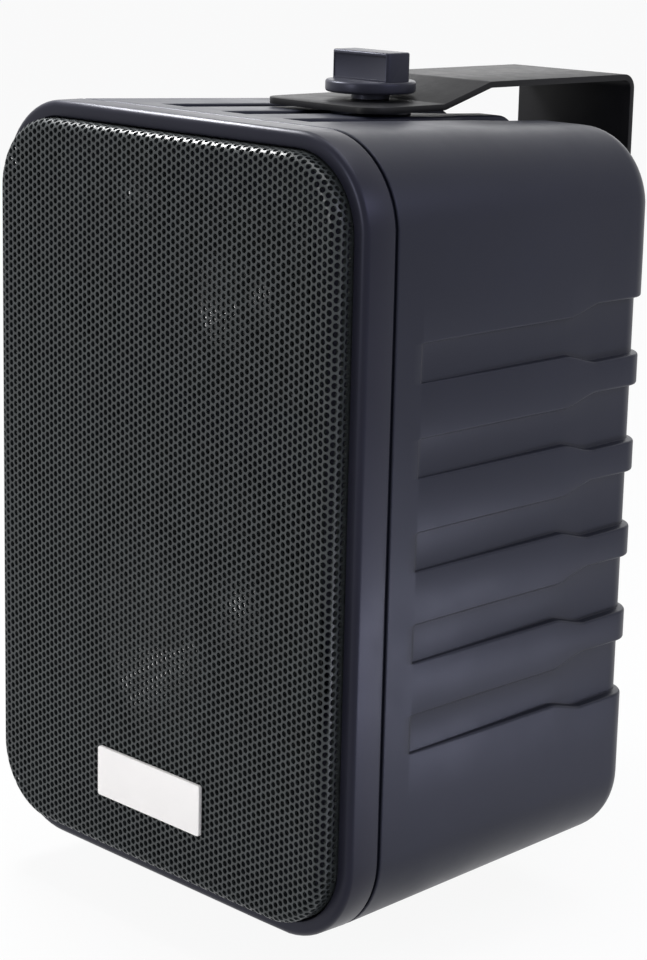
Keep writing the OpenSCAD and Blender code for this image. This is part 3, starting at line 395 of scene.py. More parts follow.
def rounded(points, radius, steps=6):
    """Replaces the corners of an open line of 2-D points by arcs."""
    line = [Vector(points[0])]
    for before, corner, after in zip(points, points[1:], points[2:]):
        a, c, b = Vector(before), Vector(corner), Vector(after)
        into, out = (a - c).normalized(), (b - c).normalized()
        half = into.angle(out) / 2
        reach = radius / math.tan(half)
        mid = c + (into + out).normalized() * radius / math.sin(half)
        start, end = c + into * reach - mid, c + out * reach - mid
        turn = start.angle(end)
        for i in range(steps + 1):
            f = i / steps
            first, last = math.sin((1 - f) * turn), math.sin(f * turn)
            line.append(mid + (start * first + end * last) / math.sin(turn))
    line.append(Vector(points[-1]))
    return line


def finish_mesh(bm, name, weld=1e-7):
    """Turns a bmesh into a mesh whose faces point outwards."""
    bmesh.ops.remove_doubles(bm, verts=bm.verts, dist=weld)
    bmesh.ops.dissolve_degenerate(bm, dist=weld, edges=bm.edges)
    bmesh.ops.recalc_face_normals(bm, faces=bm.faces)
    mesh = bpy.data.meshes.new(name)
    bm.to_mesh(mesh)
    bm.free()
    return mesh


def new_object(name, mesh):
    """Object at the origin that holds a mesh."""
    piece = bpy.data.objects.new(name, mesh)
    bpy.context.scene.collection.objects.link(piece)
    return piece


def built(bm, name):
    """Object made of a bmesh."""
    return new_object(name, finish_mesh(bm, name))


def applied(piece):
    """Replaces an object's mesh by its evaluated one and drops its modifiers."""
    bpy.context.view_layer.update()
    graph = bpy.context.evaluated_depsgraph_get()
    mesh = bpy.data.meshes.new_from_object(piece.evaluated_get(graph))
    mesh.name = piece.name
    piece.modifiers.clear()
    piece.data = mesh
    return piece


def soft_edges(piece, width, segments=2, sharpness=30):
    """Rounds the sharp edges of a piece."""
    bevel = piece.modifiers.new("edges", "BEVEL")
    bevel.width = width
    bevel.segments = segments
    bevel.limit_method = "ANGLE"
    bevel.angle_limit = math.radians(sharpness)
    return applied(piece)


def carve(piece, cutter, operation="DIFFERENCE"):
    """Cuts or joins a piece with another, which is used up."""
    boolean = piece.modifiers.new("carve", "BOOLEAN")
    boolean.operation = operation
    boolean.object = cutter
    boolean.solver = "EXACT"
    applied(piece)
    bpy.data.objects.remove(cutter)
    return piece


def shade(piece, sharpness=32):
    """Smooth shading that keeps edges sharper than the angle."""
    for polygon in piece.data.polygons:
        polygon.use_smooth = True
    piece.data.set_sharp_from_angle(angle=math.radians(sharpness))
    return piece


def settle(piece, node, stands_for=True):
    """Gives a piece the finish, the slot and the body of the CAD node that it dresses."""
    piece.data.materials.clear()
    piece.data.materials.append(finish(NODE_SLOT[node]))
    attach(piece, NODE_BODY[node])
    if stands_for:
        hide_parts(node)
    return piece


def dress(node, edge):
    """Dresses a node with its own solids, joined to smooth faces with fine rounded edges."""
    bm = bmesh.new()
    bm.from_mesh(frame["nodes"][node].data)
    bmesh.ops.remove_doubles(bm, verts=bm.verts, dist=1e-6)
    bmesh.ops.dissolve_limit(bm, angle_limit=math.radians(0.5), verts=bm.verts, edges=bm.edges)
    piece = built(bm, f"{node}_dressed")
    if edge:
        soft_edges(piece, edge * MM, 2, 40)
    return settle(shade(piece, 40), node)


def solids(node):
    """Lowest and highest corner of each separate solid in a CAD node."""
    bm = bmesh.new()
    bm.from_mesh(frame["nodes"][node].data)
    bmesh.ops.remove_doubles(bm, verts=bm.verts, dist=1e-6)
    left, found = set(bm.verts), []
    while left:
        stack, group = [left.pop()], []
        while stack:
            vert = stack.pop()
            group.append(vert.co.copy())
            for edge in vert.link_edges:
                other = edge.other_vert(vert)
                if other in left:
                    left.discard(other)
                    stack.append(other)
        low = Vector([min(c[i] for c in group) for i in range(3)])
        high = Vector([max(c[i] for c in group) for i in range(3)])
        found.append((low, high))
    bm.free()
    return sorted(found, key=lambda pair: (round(pair[0].z, 5), pair[0].x))


# Finishes


class Nodes:
    """Short way to wire a material's nodes."""

    def __init__(self, name):
        self.material = bpy.data.materials.new(name)
        self.material.use_nodes = True
        self.tree = self.material.node_tree
        self.tree.nodes.clear()
        self.shader = self.add("ShaderNodeBsdfPrincipled")
        self.output = self.add("ShaderNodeOutputMaterial")
        self.tree.links.new(self.shader.outputs[0], self.output.inputs["Surface"])
        self.place = self.add("ShaderNodeTexCoord").outputs["Object"]

    def add(self, kind, settings=None, **inputs):
        node = self.tree.nodes.new(kind)
        for key, value in (settings or {}).items():
            setattr(node, key, value)
        for key, value in inputs.items():
            self.put(node.inputs[key.replace("_", " ")], value)
        return node

    def put(self, socket, value):
        if isinstance(value, bpy.types.NodeSocket):
            self.tree.links.new(value, socket)
        elif socket.type == "RGBA":
            socket.default_value = (*value, 1)
        else:
            socket.default_value = value

    def noise(self, scale, detail=2.0, rough=0.5, stretch=None):
        node = self.add("ShaderNodeTexNoise", Scale=scale, Detail=detail, Roughness=rough)
        vector = self.place
        if stretch:
            vector = self.add("ShaderNodeMapping", Vector=vector, Scale=stretch).outputs[0]
        self.put(node.inputs["Vector"], vector)
        return node.outputs["Fac"]

    def span(self, value, low, high, to_low, to_high):
        node = self.add("ShaderNodeMapRange")
        for key, number in enumerate((value, low, high, to_low, to_high)):
            self.put(node.inputs[key], number)
        return node.outputs[0]

    def mix(self, factor, first, second):
        node = self.add("ShaderNodeMixRGB")
        for key, value in enumerate((factor, first, second)):
            self.put(node.inputs[key], value)
        return node.outputs[0]

    def bump(self, height, strength, distance, below=None):
        node = self.add("ShaderNodeBump", Strength=strength, Distance=distance, Height=height)
        if below is not None:
            self.put(node.inputs["Normal"], below)
        return node.outputs[0]

    def set(self, **inputs):
        for key, value in inputs.items():
            self.put(self.shader.inputs[key.replace("_", " ")], value)
        return self.material


def scaled(base, factor):
    """A colour made lighter or darker."""
    return tuple(min(1, c * factor) for c in base)


def moulded(name, base, rough, grain=2600, depth=0.00004, level=0.2, tint=(1, 1, 1)):
    """Spark-eroded moulded plastic: fine grain, faint flow marks and uneven gloss."""
    n = Nodes(name)
    flow = n.noise(14, 3, 0.6)
    speck = n.noise(grain, 1.5, 0.6)
    tone = n.mix(n.span(flow, 0.3, 0.7, 0, 1), scaled(base, 0.88), scaled(base, 1.12))
    tone = n.mix(n.span(speck, 0.62, 0.8, 0, 0.3), tone, scaled(base, 1.9))
    height = n.bump(speck, 0.13, depth)
    height = n.bump(n.noise(60, 2), 0.05, 0.0004, height)
    return n.set(
        Base_Color=tone,
        Roughness=n.span(n.noise(35, 4, 0.65), 0.3, 0.75, rough - 0.05, rough + 0.06),
        Specular_IOR_Level=level,
        Specular_Tint=tint,
        Normal=height,
    )


def powder_coat(name, base, rough, level=0.35, peel=900, depth=0.00006):
    """Baked powder coat: orange peel with a soft sheen."""
    n = Nodes(name)
    dust = n.noise(180, 5, 0.7)
    tone = n.mix(n.span(dust, 0.35, 0.7, 0, 1), scaled(base, 0.85), scaled(base, 1.25))
    return n.set(
        Base_Color=tone,
        Roughness=n.span(dust, 0.3, 0.75, rough - 0.04, rough + 0.07),
        Specular_IOR_Level=level,
        Normal=n.bump(n.noise(peel, 1, 0.4), 0.15, depth),
    )


def metal(name, base, rough, scratches=700, stretch=(1, 1, 0.04)):
    """Bare metal with drawn scratches."""
    n = Nodes(name)
    lines = n.noise(scratches, 3, 0.6, stretch)
    stain = n.noise(50, 4, 0.6)
    return n.set(
        Base_Color=n.mix(n.span(stain, 0.3, 0.7, 0, 1), scaled(base, 0.8), scaled(base, 1.08)),
        Metallic=1.0,
        Roughness=n.span(lines, 0.3, 0.7, rough - 0.06, rough + 0.1),
        Normal=n.bump(lines, 0.2, 0.00002),
    )


def soft(name, base, rough, grain, depth, fibre=0.0, level=0.3):
    """Matt or fibrous stuff, such as rubber, paper, silk, cloth and felt."""
    n = Nodes(name)
    fine = n.noise(grain, 4, 0.7)
    wide = n.noise(40, 3, 0.6)
    tone = n.mix(n.span(wide, 0.3, 0.7, 0, 1), scaled(base, 0.82), scaled(base, 1.15))
    tone = n.mix(n.span(fine, 0.5, 0.8, 0, 0.5), tone, scaled(base, 1.6))
    return n.set(
        Base_Color=tone,
        Roughness=n.span(fine, 0.3, 0.7, rough - 0.08, rough + 0.04),
        Specular_IOR_Level=level,
        Sheen_Weight=fibre,
        Normal=n.bump(fine, 0.6, depth),
    )


def lacquered(name, base):
    """Satin lacquered plate with the faintest brushing."""
    n = Nodes(name)
    brush = n.noise(2500, 2, 0.6, (0.03, 1, 1))
    tone = n.mix(n.span(n.noise(45, 3), 0.3, 0.7, 0, 1), scaled(base, 0.97), scaled(base, 1.02))
    return n.set(
        Base_Color=tone,
        Roughness=n.span(brush, 0.3, 0.7, 0.32, 0.42),
        Normal=n.bump(brush, 0.12, 0.00002),
    )


def circuit_board(name):
    """Green solder mask over copper tracks."""
    n = Nodes(name)
    cells = n.add("ShaderNodeTexVoronoi", {"feature": "DISTANCE_TO_EDGE"}, Scale=170.0)
    n.put(cells.inputs["Vector"], n.place)
    track = n.span(cells.outputs["Distance"], 0.08, 0.12, 1, 0)
    return n.set(
        Base_Color=n.mix(track, (0.012, 0.07, 0.03), (0.03, 0.16, 0.07)),
        Roughness=n.span(track, 0, 1, 0.45, 0.3),
        Normal=n.bump(track, 0.3, 0.0001),
    )


def winding(name):
    """Enamelled copper wire, wound in fine turns."""
    n = Nodes(name)
    wave = n.add("ShaderNodeTexWave", {"bands_direction": "Y"}, Scale=900.0, Distortion=0.6)
    n.put(wave.inputs["Vector"], n.place)
    turns = wave.outputs["Fac"]
    return n.set(
        Base_Color=n.mix(turns, (0.22, 0.06, 0.02), (0.62, 0.25, 0.1)),
        Metallic=1.0,
        Roughness=n.span(turns, 0, 1, 0.5, 0.3),
        Normal=n.bump(turns, 0.5, 0.0001),
    )


def finish(slot):
    """Material of a slot, made when it is first asked for."""
    look = bpy.context.scene.speaker_finishes
    gleam = tuple(look.gleam)
    makers = {
        "shell_plastic": lambda s: moulded(s, look.shell, 0.4, tint=gleam),
        "baffle_plastic": lambda s: moulded(s, look.bezel, 0.36, grain=2200, tint=gleam),
        "grille_paint": lambda s: powder_coat(s, look.grille, 0.36, level=0.3),
        "bracket_paint": lambda s: powder_coat(s, look.bracket, 0.45, level=0.15),
        "badge_white": lambda s: lacquered(s, look.badge),
        "knob_plastic": lambda s: moulded(s, look.knob, 0.38, grain=3000, tint=gleam),
        "stud_steel": lambda s: metal(s, (0.55, 0.55, 0.56), 0.32),
        "brass": lambda s: metal(s, (0.72, 0.48, 0.2), 0.3),
        "rubber": lambda s: soft(s, (0.01, 0.01, 0.01), 0.7, 1400, 0.00005),
        "basket_paint": lambda s: powder_coat(s, (0.012, 0.012, 0.013), 0.4),
        "driver_plastic": lambda s: moulded(s, (0.014, 0.014, 0.015), 0.42),
        "cone_paper": lambda s: soft(s, (0.012, 0.012, 0.013), 0.26, 900, 0.00003, level=1.0),
        "spider_cloth": lambda s: soft(s, (0.42, 0.3, 0.1), 0.85, 1600, 0.0002, 0.3),
        "dome_silk": lambda s: soft(s, (0.03, 0.03, 0.035), 0.25, 2400, 0.00002, 0.1, 1.0),
        "coil_copper": winding,
        "plate_steel": lambda s: metal(s, (0.5, 0.5, 0.52), 0.35),
        "ferrite": lambda s: soft(s, (0.045, 0.045, 0.048), 0.55, 1100, 0.00008),
        "lever_red": lambda s: moulded(s, (0.5, 0.015, 0.012), 0.33, level=0.5),
        "lever_black": lambda s: moulded(s, (0.014, 0.014, 0.014), 0.33, level=0.5),
        "board": circuit_board,
        "capacitor": lambda s: moulded(s, (0.02, 0.035, 0.14), 0.3, grain=300, level=0.5),
        "resistor": lambda s: soft(s, (0.7, 0.67, 0.58), 0.8, 700, 0.0001),
        "felt": lambda s: soft(s, (0.1, 0.095, 0.085), 0.95, 500, 0.0008, 0.6),
        "screw_black": lambda s: metal(s, (0.05, 0.05, 0.055), 0.35),
    }
    name = f"{slot}_finish"
    return bpy.data.materials.get(name) or makers[slot](name)


# Cabinet


def band_half(sizes, y):
    """Half width of a band at a depth: narrow, then wider over a slanted step."""
    narrow, wide = sizes.band_narrow / 2, sizes.band_wide / 2
    start = FRONT_Y + sizes.band_start + sizes.band_run
    t = min(1, max(0, (y - start) / sizes.band_step))
    eased = t + 0.35 * (t * t * (3 - 2 * t) - t)
    return narrow + (wide - narrow) * eased


def skin_slope(sizes):
    """How much the skin leans in for each length towards the back."""
    return sizes.draft / (BACK_Y - SEAM_Y)


def rounding(y, end, radius):
    """How far a rounding that ends at a plane has turned in at a depth."""
    reach = min(radius, max(0.0, y - end + radius))
    return radius - math.sqrt(radius**2 - reach**2)


def skin_inset(sizes, y):
    """How far the skin lies inside the front outline at a depth."""
    return skin_slope(sizes) * (y - SEAM_Y) + rounding(y, BACK_Y, sizes.rear_round)


def band_sink(sizes, y):
    """How deep a band lies below the skin at a depth."""
    start = FRONT_Y + sizes.band_start
    if y <= start:
        return 0.0
    end = BACK_Y + sizes.floor_over
    lean = skin_slope(sizes) + (sizes.band_depth - sizes.band_lead) / (BACK_Y - start)
    floor = skin_inset(sizes, start) + sizes.band_lead
    floor += lean * (min(y, end - sizes.rear_round) - start) + rounding(y, end, sizes.rear_round)
    ramp = min(1, (y - start) / sizes.band_ramp)
    return max(0.0, floor - skin_inset(sizes, y)) * (1 - math.cos(math.pi * ramp)) / 2


def edge_profile(sizes, depth):
    """Section of a band's edge as (way into the band, share of its depth)."""
    top, foot = min(sizes.edge, depth / 2), min(sizes.fillet, depth / 4)
    points = [(-top * (1 - s), top * (1 - c)) for s, c in quarter(EDGE_STEPS)]
    points += [(foot * (1 - c), depth - foot * (1 - s)) for s, c in quarter(EDGE_STEPS - 1)]
    return [(t + sizes.wall_lean * sink / depth, sink / depth) for t, sink in points]


def side_stations(sizes, y, reach, count, depth):
    """Places along one straight side and their share of the bands' depth."""
    half = band_half(sizes, y)
    edge = edge_profile(sizes, depth)
    stations = [(-reach, 0.0)]
    for i in range(count):
        middle = (i - (count - 1) / 2) * sizes.band_pitch
        rising = [(middle - half + t, share) for t, share in edge]
        falling = [(middle + half - t, share) for t, share in reversed(edge)]
        between = (stations[-1][0] + rising[0][0]) / 2
        stations += [(between, 0.0), *rising, (middle, 1.0), *falling]
    stations.append(((stations[-1][0] + reach) / 2, 0.0))
    return stations


def ring(sizes, y, inset, sink=0.0, layout_y=SEAM_Y):
    """One loop round the cabinet, pulled in by the inset and, at its bands, by their depth."""
    depth = max(sink, sizes.band_lead)
    corner = sizes.corner
    reaches = (HALF_H - corner, HALF_W - corner)
    counts = (SIDE_BANDS, TOP_BANDS)
    sides = [side_stations(sizes, layout_y, r, c, depth) for r, c in zip(reaches, counts)]
    points = []
    for number in range(4):
        turn = number * math.pi / 2
        out = Vector((math.cos(turn), math.sin(turn)))
        along = Vector((-math.sin(turn), math.cos(turn)))
        half = (HALF_W, HALF_H)[number % 2]
        for t, share in sides[number % 2]:
            points.append(out * (half - inset - share * sink) + along * t)
        middle = out * (half - corner) + along * reaches[number % 2]
        for i in range(1, CORNER_STEPS):
            a = turn + math.pi / 2 * i / CORNER_STEPS
            points.append(middle + Vector((math.cos(a), math.sin(a))) * (corner - inset))
    return [Vector((p.x, y, p.y)) for p in points]


def spread(start, end, steps):
    """Even places from one end to the other."""
    return [start + (end - start) * i / steps for i in range(steps + 1)]


def shell_rings(sizes):
    """Loops of the outer skin from the seam to the back."""
    front = SEAM_Y + sizes.seam
    start = FRONT_Y + sizes.band_start
    full = start + sizes.band_ramp
    step = start + sizes.band_run
    wide = step + sizes.band_step
    lip = sizes.lip_round
    rings = [ring(sizes, y, sizes.seam_depth) for y in (SEAM_Y, front)]
    for s, c in quarter(4):
        y = front + lip * (1 - c)
        rings.append(ring(sizes, y, skin_inset(sizes, y) + lip * (1 - s)))
    depths = spread(front + 2 * lip, start, 3) + spread(start, full, 6)[1:]
    depths += spread(full + MM, step - MM, 9) + spread(step, wide, 8)
    depths += spread(wide + MM, BACK_Y - sizes.rear_round, 4)
    depths += [BACK_Y - sizes.rear_round * (1 - s) for s, c in quarter(16)[1:]]
    for y in depths:
        rings.append(ring(sizes, y, skin_inset(sizes, y), band_sink(sizes, y), y))
    return rings


def make_shell(sizes):
    """Moulded rear shell: drafted skin, recessed bands, hollow, cup opening, seats and posts."""
    inner_back = BACK_Y - sizes.back_wall
    deep = sizes.draft + sizes.wall + sizes.band_depth
    share = (inner_back - SEAM_Y) / (BACK_Y - SEAM_Y)
    rings = [
        ring(sizes, inner_back, sizes.wall + (deep - sizes.wall) * share),
        ring(sizes, SEAM_Y, sizes.wall),
        *shell_rings(sizes),
    ]
    bm = bmesh.new()
    loops = loft(bm, rings)
    openings = loft(bm, cup_opening(inner_back))
    fill(bm, [loops[0], openings[0]])
    fill(bm, [loops[-1], openings[1]])
    shell = built(bm, "cabinet_shell_moulding")
    bores = bmesh.new()
    for node in ("insert_top", "insert_bottom"):
        half = (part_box(node)[1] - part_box(node)[0]) / 2
        reach = half.z + BORE_OVERRUN
        bore = [(half.x, -reach), (half.x, reach)]
        lathe(bores, bore, centre(node), steps=48, hollow=False)
    carve(shell, built(bores, "bores"))
    bm = bmesh.new()
    bm.from_mesh(shell.data)
    add_seats(bm)
    add_posts(bm, sizes)
    shell.data = finish_mesh(bm, "cabinet_shell_moulding")
    return settle(shade(shell), "cabinet_shell")


def cup_opening(inner_back):
    """Two loops of the opening in the back wall that the terminal cup fills."""
    middle = (CUP[0] + CUP[1]) / 2
    points = box_outline(CUP_HALF_W, CUP_HALF_H, CUP_CORNER, 6)
    return [
        [Vector((middle.x + a, y, middle.z + b)) for a, b in points] for y in (inner_back, BACK_Y)
    ]


def add_seats(bm):
    """Round seats for the washers, with the pillars that hold the inserts."""
    radius, edge = SEAT_RADIUS, SEAT_EDGE
    top = SHELL[1].z
    for side, node in ((1, "insert_top"), (-1, "insert_bottom")):
        low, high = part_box(node)
        bore = (high.x - low.x) / 2
        profile = [(bore, top - SEAT_HEIGHT), (radius, top - SEAT_HEIGHT)]
        profile += [(radius - edge * (1 - c), top - edge * (1 - s)) for s, c in quarter(3)]
        profile.append((bore, top))
        place = Vector((centre(node).x, centre(node).y, 0))
        lathe(bm, [(r, side * z) for r, z in profile], place)


def add_posts(bm, sizes):
    """Screw posts behind the baffle and the short posts of the circuit board."""
    for low, high in solids("baffle_screws"):
        place = ((low.x + high.x) / 2, SEAM_Y, (low.z + high.z) / 2)
        add_tube(bm, place, POST_RADIUS, POST_BORE, POST_LENGTH)
    board_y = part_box("crossover_board")[1].y
    reach = BACK_Y - sizes.back_wall - board_y + BOARD_POST_ROOT
    for low, high in solids("board_screws"):
        place = ((low.x + high.x) / 2, board_y, (low.z + high.z) / 2)
        add_tube(bm, place, BOARD_POST_RADIUS, BOARD_POST_BORE, reach)


def add_tube(bm, place, radius, bore, long):
    """Closed tube standing back from a place."""
    lathe(bm, [(bore, 0), (radius, 0), (radius, long), (bore, long)], place, "Y", 32)


def make_bezel(sizes):
    """Front moulding: rounded bezel, rim, plate with the driver openings and locating lip."""
    r, lip, rim = sizes.front_round, sizes.lip_round, sizes.rim
    profile = [(SEAM_Y, lip)]
    profile += [(SEAM_Y - lip * (1 - c), lip * (1 - s)) for s, c in quarter(4)]
    profile += [(FRONT_Y + r * (1 - s), r * (1 - c)) for s, c in quarter(8)]
    profile += [(FRONT_Y + lip * (1 - c), rim - lip * (1 - s)) for s, c in quarter(4)]
    profile.append((BAFFLE_Y, rim))
    bm = bmesh.new()
    loops = loft(bm, [ring(sizes, y, inset) for y, inset in profile])
    fronts, backs = [], []
    for node, radius in OPENINGS.items():
        middle, around = centre(node), circle(radius, 72)
        pair = loft(bm, [
            [Vector((middle.x + a, y, middle.z + b)) for a, b in around]
            for y in (BAFFLE_Y, SEAM_Y)
        ])
        fronts.append(pair[0])
        backs.append(pair[1])
    fill(bm, [loops[-1], *fronts])
    fill(bm, [loops[0], *backs])
    outside = sizes.wall + sizes.lip_gap
    inside = outside + sizes.lip
    root, tip = SEAM_Y - LIP_ROOT, SEAM_Y + sizes.lip_reach
    corners = ((root, outside), (tip, outside), (tip, inside), (root, inside))
    loft(bm, [ring(sizes, y, inset) for y, inset in corners], close_ends=True)
    return settle(shade(built(bm, "front_bezel")), "front_baffle")


# Geometry trees


class Graph:
    """Short way to wire a geometry tree with named inputs."""

    def __init__(self, name, inputs):
        self.tree = bpy.data.node_groups.new(name, "GeometryNodeTree")
        face = self.tree.interface
        face.new_socket("Geometry", in_out="OUTPUT", socket_type="NodeSocketGeometry")
        face.new_socket("Geometry", in_out="INPUT", socket_type="NodeSocketGeometry")
        self.names = {}
        for label, kind in inputs:
            socket = face.new_socket(label, in_out="INPUT", socket_type=f"NodeSocket{kind}")
            self.names[label] = socket.identifier
        self.given = self.tree.nodes.new("NodeGroupInput").outputs
        self.result = self.tree.nodes.new("NodeGroupOutput").inputs[0]

    def add(self, kind, settings=None, links=None):
        """New node; its first output is returned."""
        node = self.tree.nodes.new(kind)
        for key, value in (settings or {}).items():
            setattr(node, key, value)
        for key, value in (links or {}).items():
            for one in value if isinstance(value, list) else [value]:
                if isinstance(one, bpy.types.NodeSocket):
                    self.tree.links.new(one, node.inputs[key])
                else:
                    node.inputs[key].default_value = one
        return node.outputs[0]

    def calc(self, operation, a, b=0.0):
        return self.add("ShaderNodeMath", {"operation": operation}, {0: a, 1: b})

    def part(self, vector, axis):
        split = self.add("ShaderNodeSeparateXYZ", links={0: vector})
        return split.node.outputs[axis]

    def vector(self, **parts):
        return self.add("ShaderNodeCombineXYZ", links=parts)

    def scale(self, vector, factor):
        return self.add("ShaderNodeVectorMath", {"operation": "SCALE"}, {0: vector, "Scale": factor})

    def move(self, shape, **parts):
        links = {"Geometry": shape, "Translation": self.vector(**parts)}
        return self.add("GeometryNodeTransform", links=links)

    def end(self, shape, paint):
        """Realizes what was set out and paints it."""
        real = self.add("GeometryNodeRealizeInstances", links={0: shape})
        links = {"Geometry": real, "Material": paint}
        painted = self.add("GeometryNodeSetMaterial", links=links)
        self.tree.links.new(painted, self.result)

    def run(self, name, values, points=()):
        """Plain mesh that the tree gives with the named inputs and points."""
        mesh = bpy.data.meshes.new(name)
        mesh.from_pydata([tuple(p) for p in points], [], [])
        holder = new_object(name, mesh)
        modifier = holder.modifiers.new("nodes", "NODES")
        modifier.node_group = self.tree
        for key, value in values.items():
            modifier[self.names[key]] = value
        return applied(holder)


def perforation():
    """Tree that sets perforated cells side by side over a rounded field."""
    sizes = [(label, "Float") for label in ("Half Width", "Half Height", "Corner Radius")]
    sizes += [("Pitch", "Float"), ("Hole", "Float"), ("Columns", "Int"), ("Rows", "Int")]
    g = Graph("perforated_sheet", [*sizes, ("Finish", "Material")])
    pitch, hole = g.given["Pitch"], g.given["Hole"]
    columns, rows = g.given["Columns"], g.given["Rows"]
    radius = g.given["Corner Radius"]
    column_step = g.calc("MULTIPLY", pitch, math.sqrt(3) / 2)
    wide = g.calc("MULTIPLY", g.calc("SUBTRACT", columns, 1.0), column_step)
    tall = g.calc("MULTIPLY", g.calc("SUBTRACT", rows, 1.0), pitch)
    sides = {"Size X": wide, "Size Y": tall, "Vertices X": columns, "Vertices Y": rows}
    grid = g.add("GeometryNodeMeshGrid", links=sides)
    place = g.add("GeometryNodeInputPosition")
    index = g.calc("ROUND", g.calc("DIVIDE", g.part(place, "X"), column_step))
    lift = g.calc("MULTIPLY", g.calc("PINGPONG", index, 1.0), g.calc("MULTIPLY", pitch, 0.5))
    moved = g.add("GeometryNodeSetPosition", links={"Geometry": grid, "Offset": g.vector(Y=lift)})
    over = []
    for axis, half in (("X", "Half Width"), ("Y", "Half Height")):
        past = g.calc("SUBTRACT", g.calc("ABSOLUTE", g.part(place, axis)), g.given[half])
        over.append(g.calc("MAXIMUM", g.calc("ADD", past, radius), 0.0))
    squares = [g.calc("POWER", side, 2.0) for side in over]
    diagonal = g.calc("SQRT", g.calc("ADD", *squares))
    outside = g.calc("GREATER_THAN", diagonal, radius)
    links = {"Geometry": moved, "Selection": outside}
    kept = g.add("GeometryNodeDeleteGeometry", {"domain": "POINT"}, links)
    links = {"Vertices": 12, "Radius": 1.0}
    cell = g.add("GeometryNodeMeshCircle", {"fill_type": "NONE"}, links)
    number = g.add("GeometryNodeInputIndex")
    corner = g.calc("COMPARE", g.calc("MODULO", number, 2.0), 0.0)
    flat = g.calc("MULTIPLY", pitch, 0.5)
    peak = g.calc("DIVIDE", pitch, math.sqrt(3))
    reach = g.calc("ADD", flat, g.calc("MULTIPLY", corner, g.calc("SUBTRACT", peak, flat)))
    links = {"Geometry": cell, "Position": g.scale(place, reach)}
    hexagon = g.add("GeometryNodeSetPosition", links=links)
    links = {"Mesh": hexagon, "Offset Scale": 0.0}
    skirt = g.add("GeometryNodeExtrudeMesh", {"mode": "EDGES"}, links).node
    inward = g.add("ShaderNodeVectorMath", {"operation": "NORMALIZE"}, {0: place})
    rim = g.scale(inward, g.calc("MULTIPLY", hole, 0.5))
    links = {"Geometry": skirt.outputs["Mesh"], "Selection": skirt.outputs["Top"], "Position": rim}
    pierced = g.add("GeometryNodeSetPosition", links=links)
    copies = g.add("GeometryNodeInstanceOnPoints", links={"Points": kept, "Instance": pierced})
    g.end(copies, g.given["Finish"])
    return g


def pan_head_screws():
    """Tree that sets screws with a domed head and a cross recess on points."""
    sizes = [(label, "Float") for label in ("Head Radius", "Shank Radius", "Long", "Turn")]
    g = Graph("pan_head_screws", [*sizes, ("Finish", "Material")])
    head, shank, long = g.given["Head Radius"], g.given["Shank Radius"], g.given["Long"]
    tall = g.calc("MULTIPLY", head, HEAD_SHAPE)
    rim = g.calc("MULTIPLY", tall, 0.5)
    links = {"Vertices": 32, "Radius": head, "Depth": rim}
    disc = g.move(g.add("GeometryNodeMeshCylinder", links=links), Z=g.calc("MULTIPLY", rim, 0.5))
    crown = g.calc("MULTIPLY", tall, 0.3)
    shoulder = g.calc("MULTIPLY", head, 0.84)
    links = {"Vertices": 32, "Radius Top": shoulder, "Radius Bottom": head, "Depth": crown}
    dome = g.move(g.add("GeometryNodeMeshCone", links=links), Z=rim)
    cap = g.calc("MULTIPLY", tall, 0.2)
    top = g.calc("MULTIPLY", head, 0.55)
    links = {"Vertices": 32, "Radius Top": top, "Radius Bottom": shoulder, "Depth": cap}
    crest = g.move(g.add("GeometryNodeMeshCone", links=links), Z=g.calc("ADD", rim, crown))
    links = {"Vertices": 24, "Radius": shank, "Depth": long}
    drop = g.calc("MULTIPLY", long, -0.5)
    body = g.move(g.add("GeometryNodeMeshCylinder", links=links), Z=drop)
    solid = {"operation": "UNION", "solver": "EXACT"}
    whole = g.add("GeometryNodeMeshBoolean", solid, {1: [disc, dome, crest, body]})
    slot = g.calc("MULTIPLY", head, 0.2)
    arm = g.calc("MULTIPLY", head, 1.05)
    bars = []
    for across, along in ((slot, arm), (arm, slot)):
        bar = g.add("GeometryNodeMeshCube", links={"Size": g.vector(X=across, Y=along, Z=tall)})
        bars.append(g.move(bar, Z=tall))
    cut = {"operation": "DIFFERENCE", "solver": "EXACT"}
    driven = g.add("GeometryNodeMeshBoolean", cut, {0: whole, 1: bars})
    links = {"Geometry": driven, "Rotation": g.vector(X=g.given["Turn"])}
    turned = g.add("GeometryNodeTransform", links=links)
    twist = g.add("FunctionNodeRandomValue", {"data_type": "FLOAT"}, {"Seed": 5}).node
    twist.inputs[3].default_value = math.pi / 2
    links = {
        "Points": g.given["Geometry"],
        "Instance": turned,
        "Rotation": g.vector(Y=twist.outputs[1]),
    }
    g.end(g.add("GeometryNodeInstanceOnPoints", links=links), g.given["Finish"])
    return g


# Grille


def bend_sheet(x, z, depth, sheet, half_w, half_h, corner):
    """Place of a point of the flat blank after its edge is bent back."""
    cx = max(abs(x) - (half_w - corner), 0.0)
    cz = max(abs(z) - (half_h - corner), 0.0)
    reach = math.hypot(cx, cz)
    over = reach - corner
    if over <= 0 or reach == 0:
        return Vector((x, GRILLE_Y + depth, z))
    turn = min(over / sheet.bend, math.pi / 2)
    radius = sheet.bend - depth
    out = corner + radius * math.sin(turn)
    back = depth + radius * (1 - math.cos(turn)) + max(0.0, over - sheet.bend * math.pi / 2)
    scale = out / reach
    nx = (half_w - corner) + cx * scale if cx > 0 else abs(x)
    nz = (half_h - corner) + cz * scale if cz > 0 else abs(z)
    return Vector((math.copysign(nx, x), GRILLE_Y + back, math.copysign(nz, z)))


